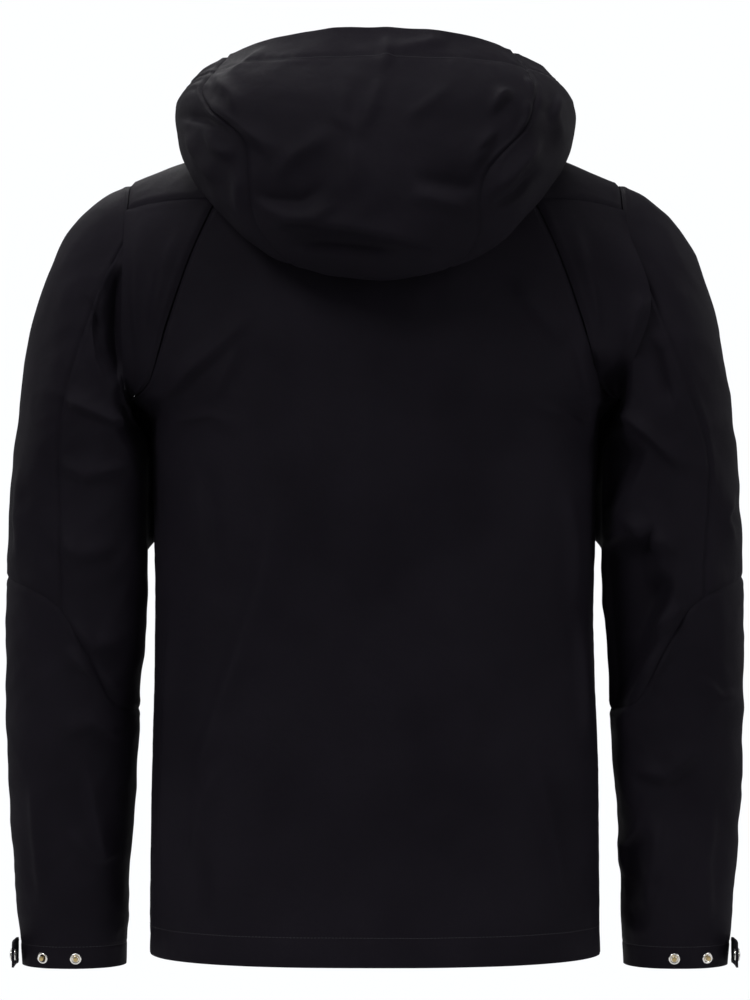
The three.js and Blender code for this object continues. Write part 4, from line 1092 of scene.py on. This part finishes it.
def cut_slot(panel, low, high, half, inward):
    """Cuts the pocket's slot out of a front panel with a box laid along it."""
    reach, margin = 14, 3  # how far the box goes through the cloth, and stops short of the ends
    z = unit(high - low)
    x = unit(np.cross(inward, z))
    y = np.cross(z, x)
    length = np.linalg.norm(high - low)
    corners = [
        low + x * half * i + y * reach * j + z * along
        for i in (-1, 1)
        for j in (-1, 1)
        for along in (margin, length - margin)
    ]
    faces = [(0, 1, 3, 2), (4, 6, 7, 5), (0, 4, 5, 1), (2, 3, 7, 6), (0, 2, 6, 4), (1, 5, 7, 3)]
    mesh = bpy.data.meshes.new("slot")
    mesh.from_pydata([tuple(c * MM) for c in corners], [], faces)
    cutter = placed("slot", mesh)
    modifier = panel.modifiers.new("slot", "BOOLEAN")
    modifier.operation = "DIFFERENCE"
    modifier.object = cutter
    modifier.solver = "EXACT"
    apply_modifiers(panel)
    bpy.data.objects.remove(cutter)


# the left pocket's zip, as the (x, z) of its low and high ends, and half its slot's width
POCKET = (np.array([128.0, -625.0]), np.array([112.0, -455.0]))
SLOT_HALF = 6.3


def pocket_line(side):
    """The pocket zip's low and high end on the front's surface, and the way in through it."""
    low, high = (body(np.array(p[0]), np.array(p[1]), -1) for p in POCKET)
    middle = (POCKET[0] + POCKET[1]) / 2
    before = body(np.array(middle[0] - 5), np.array(middle[1]), -1)
    after = body(np.array(middle[0] + 5), np.array(middle[1]), -1)
    inward = unit(np.cross(high - low, after - before))
    return tuple(on_side(v, side) for v in (low, high, inward))


def front_panels():
    rows_z = rows_at((HEM_Z, -268, STEP), (-268, -236, 1.8))
    # columns close together at the zip's edge and at the side
    shares = np.concatenate([[0, 0.004, 0.01], spread(np.linspace(0.02, 1, 70))])
    edge_x = np.where(rows_z < RING_LOW, half_width(rows_z), ARM_X)[:, None]
    below = body(mix(ZIP_GAP, edge_x, shares[None]), rows_z[:, None], -1)
    x = mix(ZIP_GAP, ARM_X, shares)
    at_neck = neck_turn(math.pi - np.arcsin(np.minimum(1, x / NECK_HALF)))
    seam_turn = np.where(x > YOKE_NECK_X, front_yoke_turn(x), at_neck)
    top_z = body_turn(x, np.minimum(math.pi / 2, seam_turn), -1)[..., 2]
    up = np.linspace(0, 1, 46)[1:, None]
    above = body(x[None] + 0 * up, mix(rows_z[-1], top_z[None], up), -1)
    p = np.concatenate([below, above])
    for side, name in SIDES:
        q = on_side(p, side)
        piece = cloth(f"front_{name}", q, side, front_field(q), seams="rt", relief=hem_pucker(q))
        low, high, inward = pocket_line(side)
        cut_slot(piece, low, high, SLOT_HALF, inward)
        keep(piece, "torso", f"front_panel_{name}")


front_panels()


# ---------------------------------------------------------------- collar and linings
COLLAR_HALF = 77.0  # half the collar's width at its top


def collar_point(w, t):
    """A point on the collar: w is the angle round the neck, t the share of the way up."""
    low = neck_point(w)
    c = np.cos(w)
    facing = np.where(c < 0, -1.0, 1.0)
    top_z = mix(38.0, COLLAR_TOP, (1 - c) / 2)
    share = (1 - np.abs(np.sin(w)) ** SQUARE) ** (1 / SQUARE)
    depth = np.where(facing > 0, 74.0, SIDE_Y - front_line(top_z))
    high = pack(COLLAR_HALF * np.sin(w), SIDE_Y + facing * depth * share, top_z)
    return mix(low, high, t[..., None])


def collar_angle(x, t):
    """The angle at which the collar's front, t of the way up, is x from the middle."""
    return math.pi - np.arcsin(x / mix(NECK_HALF, COLLAR_HALF, t))


def collar_grid(end_x, low, high):
    """The whole way round, from end_x on the right front to end_x on the left front."""
    t = np.linspace(low, high, 30)[:, None]
    w = np.linspace(-1, 1, 150)[None] * collar_angle(end_x, t)
    return collar_point(w, np.broadcast_to(t, w.shape))


def collar_field(p):
    folds = 1.6 * creases(p, (40, 40, 50), 41) * smooth((np.abs(p[..., 0]) - 10) / 16)
    return folds + 0.5 * noise(p, 15, 42)


def collar():
    p = collar_grid(ZIP_GAP, 0.0, 0.985)
    piece = cloth("collar", p, -1, collar_field(p) * 0.8, seams="b")
    keep(piece, "torso", "collar")
    p = collar_grid(20.5, 0.04, 0.975)
    lining = cloth(
        "collar_lining", p, -1, 0.5 * noise(p, 20, 43),
        seams="bt", sunk=3.6, thick=2.4, outer=FLEECE, ditch=0.5,
    )
    keep(lining, "torso", "collar_lining")
    t = np.linspace(0.55, 0.96, 14)[:, None]
    w = mix(collar_angle(52, t), collar_angle(22, t), np.linspace(0, 1, 16)[None])
    p = collar_point(w, np.broadcast_to(t, w.shape))
    guard = cloth(
        "chin_guard", p, -1, 0 * p[..., 0],
        seams="lrbt", sunk=8.6, thick=1.6, outer=FLEECE, ditch=0.7,
    )
    keep(guard, "torso", "chin_guard")


def hem_facing():
    shares = spread(np.linspace(0.07, 1, 60))
    z = np.linspace(HEM_Z + 0.8, HEM_Z + 25.5, 9)[:, None]
    left_front = body(mix(ZIP_GAP, half_width(z), shares[None]), z, -1)
    behind = body(half_width(z) * spread(np.linspace(1, -1, 120))[None], z, 1)
    right_front = flip(left_front)[:, ::-1]
    p = np.concatenate([left_front, behind[:, 1:-1], right_front], axis=1)
    waves = 0.35 * noise(p, (14, 14, 40), 51)
    facing = cloth("hem_facing", p, 1, waves, seams="", sunk=3.2, thick=1.6, outer=FACING)
    keep(facing, "torso", "hem_facing")


def pocket_bags():
    s, t = np.linspace(0, 1, 40)[None], np.linspace(0, 1, 90)[:, None]
    surface = body(mix(62.0, 158.0, s) + 0 * t, mix(-695.0, -425.0, t) + 0 * s, -1)
    inset = np.minimum(np.minimum(s, 1 - s) + 0 * t, np.minimum(t, 1 - t) + 0 * s)
    within = smooth(inset / 0.1)
    for side, name in SIDES:
        q = on_side(surface, side)
        # sewn to the front at its border, and hanging behind it within
        field = 1.2 * creases(q, 45, 52) * within - mix(4.6, 16.0, within)
        q = q + grid_normals(q, False, side) * field[..., None]
        bag = cloth(
            f"pocket_bag_{name}", q, side, 0 * field, seams="", thick=1.0, outer=FACING
        )
        keep(bag, "torso", f"pocket_bag_{name}")


collar()
hem_facing()
pocket_bags()


# ---------------------------------------------------------------- sleeves
def bend_arm(piece, start, end, side, node):
    """Bakes a sleeve's cloth into place and hides its CAD node; start and end, on the left arm, are
    not used.
    """
    start, end = ((x * side * MM, y * MM, z * MM) for x, y, z in (start, end))
    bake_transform(piece)
    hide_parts(node)


def upper_arm(side, name):
    """The outer and inner panels, from the armhole down to the elbow seam."""
    joint = seam_section(side)
    down = np.linspace(0, 1, 176)[:, None]
    for part, columns in (("upper", 84), ("under", 150)):
        share = np.linspace(0, 1, columns)[None]
        # a seam's angle depends on the section, and the elbow's section on the angle
        t = mix(0.02, joint, down)
        for _ in range(3):
            seam = back_seam[side](t)
            if part == "upper":
                phi = mix(FRONT_SEAM, seam, share)
            else:
                phi = mix(seam, 2 * math.pi + FRONT_SEAM, share**1.25)
            t = mix(0.02, elbow_section(phi), down**0.94 + 0 * share)
        flat = press_to_body(sleeve(t, phi))
        p = tuck_in(flat, side, sleeve_middle(flat[..., 2]))
        deep = smooth(np.abs(p - flat).sum(-1) / 8)
        folds = sleeve_field(p, side) * (1 - 0.8 * deep)
        name_here = f"sleeve_{part}_{name}"
        piece = cloth(name_here, on_side(p, side), -side, folds, seams="lrbt", ditch=1.0)
        start, end = (243, 10, -200), (293, 10, -292)
        bend_arm(piece, start, end, side, name_here)


def round_angles(count):
    return np.linspace(0, 2 * math.pi, count, endpoint=False)[None]


def forearm(side, name):
    phi = round_angles(180)
    t = mix(elbow_section(phi), SLEEVE_END, np.linspace(0, 1, 140)[:, None])
    p = sleeve(t, np.broadcast_to(phi, t.shape))
    p = tuck_in(p, side, sleeve_middle(p[..., 2]))
    z = p[..., 2] - CUFF_Z
    line = -0.6 * np.exp(-(((z - CUFF_STITCH) / 1.5) ** 2))
    pucker = noise(p, (9, 9, 30), 61) * 1.2 * np.exp(-(((z - 18) / 14) ** 2))
    piece = cloth(
        f"forearm_{name}", on_side(p, side), -side, sleeve_field(p, side),
        seams="b", tube=True, ditch=1.0, relief=line + pucker,
    )
    start, end = (270, -10, -502), (300, -10, -640)
    bend_arm(piece, start, end, side, f"forearm_{name}")


def cuff_facing(side, name):
    t = np.linspace(SLEEVE_END - 0.36, SLEEVE_END - 0.012, 8)[:, None]
    p = sleeve(*np.broadcast_arrays(t, round_angles(120)))
    piece = cloth(
        f"cuff_facing_{name}", on_side(p, side), -side, 0 * p[..., 0],
        seams="", tube=True, sunk=3.0, thick=1.6, outer=FACING,
    )
    keep(piece, f"forearm_{name}", f"cuff_facing_{name}")


for side, name in SIDES:
    upper_arm(side, name)
    forearm(side, name)
    cuff_facing(side, name)


# ---------------------------------------------------------------- hood
BRIM_V = HOOD_LEVELS - 0.38  # the level of the brim casing's stitch line


def bend_hood(piece):
    """Bakes a hood cloth's placement into its mesh."""
    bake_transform(piece)


def hood_panel(name, u, v, seams):
    p = hood(u, v)
    line = -0.8 * np.exp(-(((v - BRIM_V) / 0.016) ** 2))
    gather = noise(p, (7, 7, 26), 71) * 1.3 * np.exp(-(((v - BRIM_V) / 0.14) ** 2))
    piece = cloth(name, p, -1, hood_field(p) * smooth(v / 0.8), seams=seams, relief=line + gather)
    bend_hood(piece)
    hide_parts(name)


HOOD_ROWS = 132


def hood_panels():
    v = np.linspace(0, HOOD_LEVELS, HOOD_ROWS)[:, None]
    c = np.linspace(-1, 1, 96)[None]
    u = np.where(c < 0, c * hood_seam[-1](v), c * hood_seam[1](v))
    hood_panel("hood_centre", u, np.broadcast_to(v, u.shape), "lrb")
    s = np.linspace(0, 1, 92)[None]
    for side, name in SIDES:
        u = mix(hood_seam[side](v), HOOD_STATIONS - 0.02, s)
        if side < 0:
            u = -u[:, ::-1]
        seams = "lb" if side > 0 else "rb"
        hood_panel(f"hood_side_{name}", u, np.broadcast_to(v, u.shape), seams)


def hood_brim():
    """The facing that makes the brim's casing."""
    v = np.linspace(BRIM_V - 0.01, HOOD_LEVELS - 0.01, 12)[:, None]
    u, v = np.broadcast_arrays(np.linspace(-1, 1, 240)[None] * (HOOD_STATIONS - 0.05), v)
    p = hood(u, v)
    piece = cloth(
        "hood_brim", p, -1, hood_field(p) * 0.8, seams="", sunk=3.4, thick=1.6, outer=FACING
    )
    bend_hood(piece)
    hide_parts("hood_brim")


hood_panels()
hood_brim()


# ---------------------------------------------------------------- things that repeat
def stitch_tree():
    """Beads strung along the edges of a guide mesh: stitches, or the teeth of a zip's coil."""
    tree = bpy.data.node_groups.new("stitch row", "GeometryNodeTree")
    face = tree.interface
    face.new_socket("Geometry", in_out="INPUT", socket_type="NodeSocketGeometry")
    for label, value in (("Spacing", 0.003), ("Length", 0.0022), ("Width", 0.0005)):
        face.new_socket(label, in_out="INPUT", socket_type="NodeSocketFloat").default_value = value
    face.new_socket("Material", in_out="INPUT", socket_type="NodeSocketMaterial")
    face.new_socket("Geometry", in_out="OUTPUT", socket_type="NodeSocketGeometry")
    new, link = tree.nodes.new, tree.links.new
    given, out = new("NodeGroupInput"), new("NodeGroupOutput")
    line = new("GeometryNodeMeshToCurve")
    points = new("GeometryNodeCurveToPoints")
    points.mode = "LENGTH"
    bead = new("GeometryNodeMeshUVSphere")
    bead.inputs["Segments"].default_value = 8
    bead.inputs["Rings"].default_value = 5
    bead.inputs["Radius"].default_value = 0.5
    turn = new("FunctionNodeAlignRotationToVector")
    turn.axis = "X"
    size = new("ShaderNodeCombineXYZ")
    spots = new("GeometryNodeInstanceOnPoints")
    real = new("GeometryNodeRealizeInstances")
    paint = new("GeometryNodeSetMaterial")
    link(given.outputs["Geometry"], line.inputs[0])
    link(line.outputs[0], points.inputs[0])
    link(given.outputs["Spacing"], points.inputs["Length"])
    link(points.outputs["Tangent"], turn.inputs["Vector"])
    link(given.outputs["Length"], size.inputs[0])
    link(given.outputs["Width"], size.inputs[1])
    link(given.outputs["Width"], size.inputs[2])
    link(points.outputs["Points"], spots.inputs["Points"])
    link(bead.outputs["Mesh"], spots.inputs["Instance"])
    link(turn.outputs[0], spots.inputs["Rotation"])
    link(size.outputs[0], spots.inputs["Scale"])
    link(spots.outputs[0], real.inputs[0])
    link(real.outputs[0], paint.inputs["Geometry"])
    link(given.outputs["Material"], paint.inputs["Material"])
    link(paint.outputs[0], out.inputs[0])
    return tree


STITCHES = stitch_tree()


def stitch_row(name, lines, spacing=3.2, length=2.4, width=0.55, material=THREAD):
    """Threads along lines of points (mm), as one mesh of closed beads."""
    verts, edges = [], []
    for line in lines:
        first = len(verts)
        verts.extend((np.asarray(line) * MM).tolist())
        edges.extend((i, i + 1) for i in range(first, first + len(line) - 1))
    mesh = bpy.data.meshes.new(name + "_line")
    mesh.from_pydata(verts, edges, [])
    guide = placed(name + "_line", mesh)
    modifier = guide.modifiers.new("stitches", "NODES")
    modifier.node_group = STITCHES
    sizes = {"Spacing": spacing, "Length": length, "Width": width}
    values = {label: size * MM for label, size in sizes.items()}
    values["Material"] = material
    for item in STITCHES.interface.items_tree:
        if item.in_out == "INPUT" and item.name in values:
            modifier[item.identifier] = values[item.name]
    graph = bpy.context.evaluated_depsgraph_get()
    done = bpy.data.meshes.new_from_object(guide.evaluated_get(graph))
    bpy.data.objects.remove(guide)
    done.shade_smooth()
    return placed(name, done)


def line_on(piece, row_of):
    """Follows the built cloth's outer face: row_of gives the row for each column."""
    top, n = TOPS[piece]
    columns = np.arange(top.shape[1])
    rows = np.clip(row_of, 0, top.shape[0] - 1.001)
    i = np.floor(rows).astype(int)
    f = (rows - i)[:, None]
    return mix(top[i, columns], top[i + 1, columns], f) + n[i, columns] * 0.05


def line_at(piece, height):
    """The line at which a cloth's outer face reaches a height z."""
    z = TOPS[piece][0][..., 2]
    rows = np.arange(len(z))
    if z[0, 0] > z[-1, 0]:
        z, rows = z[::-1], rows[::-1]
    return line_on(piece, np.array([np.interp(height, column, rows) for column in z.T]))


def stitches():
    hem = [line_at(piece, HEM_Z + HEM_STITCH) for piece in ("back", "front_left", "front_right")]
    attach(stitch_row("hem_stitches", hem), "torso")
    for _, name in SIDES:
        ring = line_at(f"forearm_{name}", CUFF_Z + CUFF_STITCH)
        closed = np.concatenate([ring, ring[:1]])
        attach(stitch_row(f"cuff_stitches_{name}", [closed]), f"forearm_{name}")
    row = (BRIM_V / HOOD_LEVELS) * (HOOD_ROWS - 1)
    panels = ("hood_centre", "hood_side_left", "hood_side_right")
    brim = [line_on(name, np.full(TOPS[name][0].shape[1], row)) for name in panels]
    bend_hood(stitch_row("brim_stitches", brim, spacing=2.6, length=2.1))


stitches()


# ---------------------------------------------------------------- snaps
def turned(name, outline, point, facing, material, pin=None):
    """A solid of revolution from [radius, height] pairs, standing on a point.

    pin, where there is one, gives the material of the faces nearer the axis than a radius and
    above a height."""
    z = unit(np.asarray(facing, float))
    x = unit(np.cross(z, (0.3, 0.9, 0.2)))
    y = np.cross(z, x)
    sides, rings = 40, len(outline)
    angles = np.linspace(0, 2 * math.pi, sides, endpoint=False)
    verts = [
        point + z * h + (x * math.cos(a) + y * math.sin(a)) * r for r, h in outline for a in angles
    ]
    verts += [point + z * outline[0][1], point + z * outline[-1][1]]
    foot, tip = rings * sides, rings * sides + 1
    faces = []
    for j in range(0, (rings - 1) * sides, sides):
        for i in range(sides):
            after = (i + 1) % sides
            faces.append((j + i, j + after, j + sides + after, j + sides + i))
    last = (rings - 1) * sides
    for i in range(sides):
        after = (i + 1) % sides
        faces.append((foot, after, i))
        faces.append((tip, last + i, last + after))
    mesh = bpy.data.meshes.new(name)
    mesh.from_pydata([tuple(v * MM) for v in verts], [], faces)
    mesh.materials.append(material)
    if pin:
        pin_material, radius, above = pin
        mesh.materials.append(pin_material)
        for face in mesh.polygons:
            arms = [np.array(mesh.vertices[v].co) / MM - point for v in face.vertices]
            height = np.mean([np.dot(arm, z) for arm in arms])
            away = np.mean([np.linalg.norm(np.cross(arm, z)) for arm in arms])
            if away < radius and height > above:
                face.material_index = 1
    mesh.shade_smooth()
    mesh.set_sharp_from_angle(angle=math.radians(50))
    return placed(name, mesh)


STUD = [
    (4.6, 0), (5.3, 0.15), (5.5, 0.5), (5.3, 1.0), (4.7, 1.35), (3.9, 1.3), (3.4, 0.9),
    (2.5, 0.8), (2.2, 1.0), (2.05, 2.2), (2.35, 2.7), (2.2, 3.1), (1.2, 3.3),
]
SOCKET = [
    (4.4, -2.6), (5.0, -2.5), (5.2, -2.0), (5.2, -1.3), (2.2, -1.2), (2.2, 1.3),
    (6.0, 1.3), (6.0, 1.6), (5.4, 2.3), (3.6, 2.75), (1.5, 2.9),
]
STUD_T = 9.85  # the section of the sleeve on which the studs lie


def cuff_facing_at(x):
    """The way the left cuff's cloth faces at the studs' section, x out from the middle."""
    inner, outer = float(inner_x(STUD_T)), float(outer_x(STUD_T))
    phi = math.acos(np.clip(2 * (x - inner) / (outer - inner) - 1, -1, 1))

    def at(t, angle):
        return sleeve(np.array(t), np.array(angle))

    round_cuff = at(STUD_T, phi + 0.01) - at(STUD_T, phi - 0.01)
    down_cuff = at(STUD_T + 0.1, phi) - at(STUD_T - 0.1, phi)
    return -unit(np.cross(round_cuff, down_cuff))


def cuff_studs(side, name):
    for i in (1, 2):
        node = f"cuff_stud_{i}_{name}"
        low, high = node_box(node)
        middle = (low + high) / 2
        facing = on_side(cuff_facing_at(abs(middle[0])), side)
        base = middle - facing * 1.5
        stud = turned(node + "_v", STUD, base, facing, NICKEL, pin=(BRASS, 2.45, 0.95))
        keep(stud, f"forearm_{name}", node)


def cuff_tab(side, name):
    """A doubled strap, slightly bowed outwards, with a rounded free end and a snap socket."""
    low, high = node_box(f"cuff_tab_{name}")
    corner, bow, crumple = 7.0, 1.2, 0.5
    tab_x = (low[0] + high[0]) / 2
    y = np.linspace(low[1], high[1], 60)
    share = np.linspace(-1, 1, 36)[:, None]
    into = clamp((y - (high[1] - corner)) / corner)
    trim = (high[2] - low[2]) / 2 - corner * (1 - np.sqrt(1 - into**2))
    z = (high[2] + low[2]) / 2 + share * trim[None]
    grid = pack(0.0, y[None], z)
    bowed = 0.9 + bow * np.sin(np.linspace(0, math.pi, len(y)))[None]
    grid[..., 0] = tab_x + side * (bowed + crumple * noise(grid, 16, 81))
    # the stitches run 2.6 mm inside the border, and run on under the seam at the fixed end
    from_ends = np.minimum(y - low[1] + 9, high[1] - y)[None]
    border = np.minimum(from_ends + 0 * share, trim[None] * (1 - np.abs(share)))
    stitched = -0.35 * np.exp(-(((border - 2.6) / 0.8) ** 2))
    tab = cloth(f"tab_{name}", grid, side, stitched, seams="", thick=2.0, inner=SHELL)
    keep(tab, f"tab_{name}", f"cuff_tab_{name}")
    low, high = node_box(f"snap_socket_{name}")
    point = (low + high) / 2
    point[0] = tab_x + side * 0.6
    socket = turned(f"socket_{name}", SOCKET, point, (side, 0, 0), NICKEL)
    keep(socket, f"tab_{name}", f"snap_socket_{name}")


for side, name in SIDES:
    cuff_studs(side, name)
for side, name in SIDES:
    cuff_tab(side, name)


# ---------------------------------------------------------------- zip teeth
TOOTH_PITCH = 1.5
COIL_MIDDLE = 1.4 + 1.2  # from a tape's outer face in to the middle of its coil
MAIN_TAPE_DEPTH, POCKET_TAPE_DEPTH = 4.5, 4.8  # from the cloth's outer face in to each tape


def teeth(name, start, end, inward, node, depth, sides):
    """Beads set across a zip's coil, in two layers, on one or both sides of its line."""
    along = unit(end - start)
    cross = np.cross(inward, along)
    count = int(np.linalg.norm(end - start) / TOOTH_PITCH)
    rows = []
    for side in sides:
        for layer in (-0.75, 0.75):
            for i in range(count):
                c = start + along * (0.8 + TOOTH_PITCH * i) + inward * (depth + layer)
                rows.append([c + cross * side * 0.9, c + cross * side * 3.3])
    made = stitch_row(name, rows, spacing=2.0, length=2.2, width=1.0, material=COIL)
    keep(made, "torso", node)


def zip_teeth():
    lean = unit(np.array([0, FRONT_TOP_Y - FRONT_HEM_Y, COLLAR_TOP - HEM_Z]))
    inward = np.cross(lean, (1, 0, 0))
    hem = np.array([0, FRONT_HEM_Y, HEM_Z])
    start, end = hem + lean * 15.4, hem + lean * 822.0
    depth = MAIN_TAPE_DEPTH + COIL_MIDDLE
    for side, name in SIDES:
        teeth(f"teeth_{name}", start, end, inward, f"zip_coil_{name}", depth, (side,))
    depth = POCKET_TAPE_DEPTH + COIL_MIDDLE
    for side, name in SIDES:
        low, high, inward = pocket_line(side)
        inset = unit(high - low) * 3
        node = f"pocket_coil_{name}"
        teeth(f"pocket_teeth_{name}", low + inset, high - inset, inward, node, depth, (1, -1))


zip_teeth()


# ---------------------------------------------------------------- CAD nodes shown as they are
looks = {
    TAPE: ["zip_tape", "pocket_tape"],
    COIL: ["zip_stop"],
    PULLER: ["hem_eyelet", "hood_eyelet", "pocket_slider", "pocket_pull"],
}
shown_nodes = {m: [f"{n}_{name}" for n in nodes for _, name in SIDES] for m, nodes in looks.items()}
shown_nodes[TAPE].append("hanger_loop")
shown_nodes[FACING] = ["storm_flap"]
shown_nodes[PULLER] += ["zip_box", "zip_pin", "zip_slider", "zip_pull"]
for material, nodes in shown_nodes.items():
    for node in nodes:
        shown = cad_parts[node]
        shown.data.materials.clear()
        shown.data.materials.append(material)


# ---------------------------------------------------------------- floor, light and camera
scene = bpy.context.scene
low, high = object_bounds()


def floor():
    """A wide plain pale floor, well below the hem."""
    material, _, bsdf = shader("floor")
    bsdf.inputs["Base Color"].default_value = (0.86, 0.86, 0.87, 1)
    bsdf.inputs["Roughness"].default_value = 0.9
    radius, below, sides = 1.35, low.z - 0.25, 96
    turns = np.linspace(0, 2 * math.pi, sides, endpoint=False)
    ring = [(radius * math.cos(a), radius * math.sin(a), below) for a in turns]
    mesh = bpy.data.meshes.new("floor")
    mesh.from_pydata(ring, [], [tuple(range(sides))])
    mesh.materials.append(material)
    placed("floor", mesh)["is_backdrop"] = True
floor()


def area_light(name, at, toward, size, power, colour=(1, 1, 1)):
    light = bpy.data.lights.new(name, "AREA")
    light.shape = "RECTANGLE"
    light.size, light.size_y = size
    light.energy = power
    light.color = colour
    lamp = bpy.data.objects.new(name, light)
    lamp.location = at
    lamp.rotation_mode = "QUATERNION"
    lamp.rotation_quaternion = (Vector(toward) - Vector(at)).to_track_quat("-Z", "Y")
    bpy.context.collection.objects.link(lamp)


middle = (0, 0, -0.35)
area_light("key", (1.9, 2.1, 1.9), middle, (1.0, 1.0), 54)
area_light("fill", (-2.5, 1.9, 0.6), middle, (1.2, 1.8), 22)
area_light("rim_left", (2.2, -1.1, 0.5), middle, (0.7, 2.2), 10)
area_light("rim_right", (-2.2, -1.1, 0.5), middle, (0.7, 2.2), 10)
area_light("top", (0, 0.7, 2.5), middle, (1.4, 1.2), 32)
area_light("front", (0.5, -1.5, 1.6), middle, (1.4, 1.4), 25)

world = bpy.data.worlds.new("studio")
world.use_nodes = True
nodes = world.node_tree.nodes
nodes["Background"].inputs[0].default_value = (0.97, 0.98, 1.0, 1)
path = nodes.new("ShaderNodeLightPath")
# the air behind is white to the eye, but lights the cloth only softly
world.node_tree.links.new(
    math_node(world.node_tree, "MULTIPLY_ADD", path.outputs["Is Camera Ray"], 0.78, 0.24),
    nodes["Background"].inputs[1],
)
scene.world = world
scene.view_settings.view_transform = "Standard"
scene.view_settings.look = "None"

camera = bpy.data.cameras.new("camera")
camera.sensor_width = 36
camera.lens = 114.3
eye = bpy.data.objects.new("camera", camera)
eye.location = (0, 3.0, -0.340)
eye.rotation_mode = "QUATERNION"
eye.rotation_quaternion = Vector((0, -1, 0)).to_track_quat("-Z", "Y")
bpy.context.collection.objects.link(eye)
scene.camera = eye
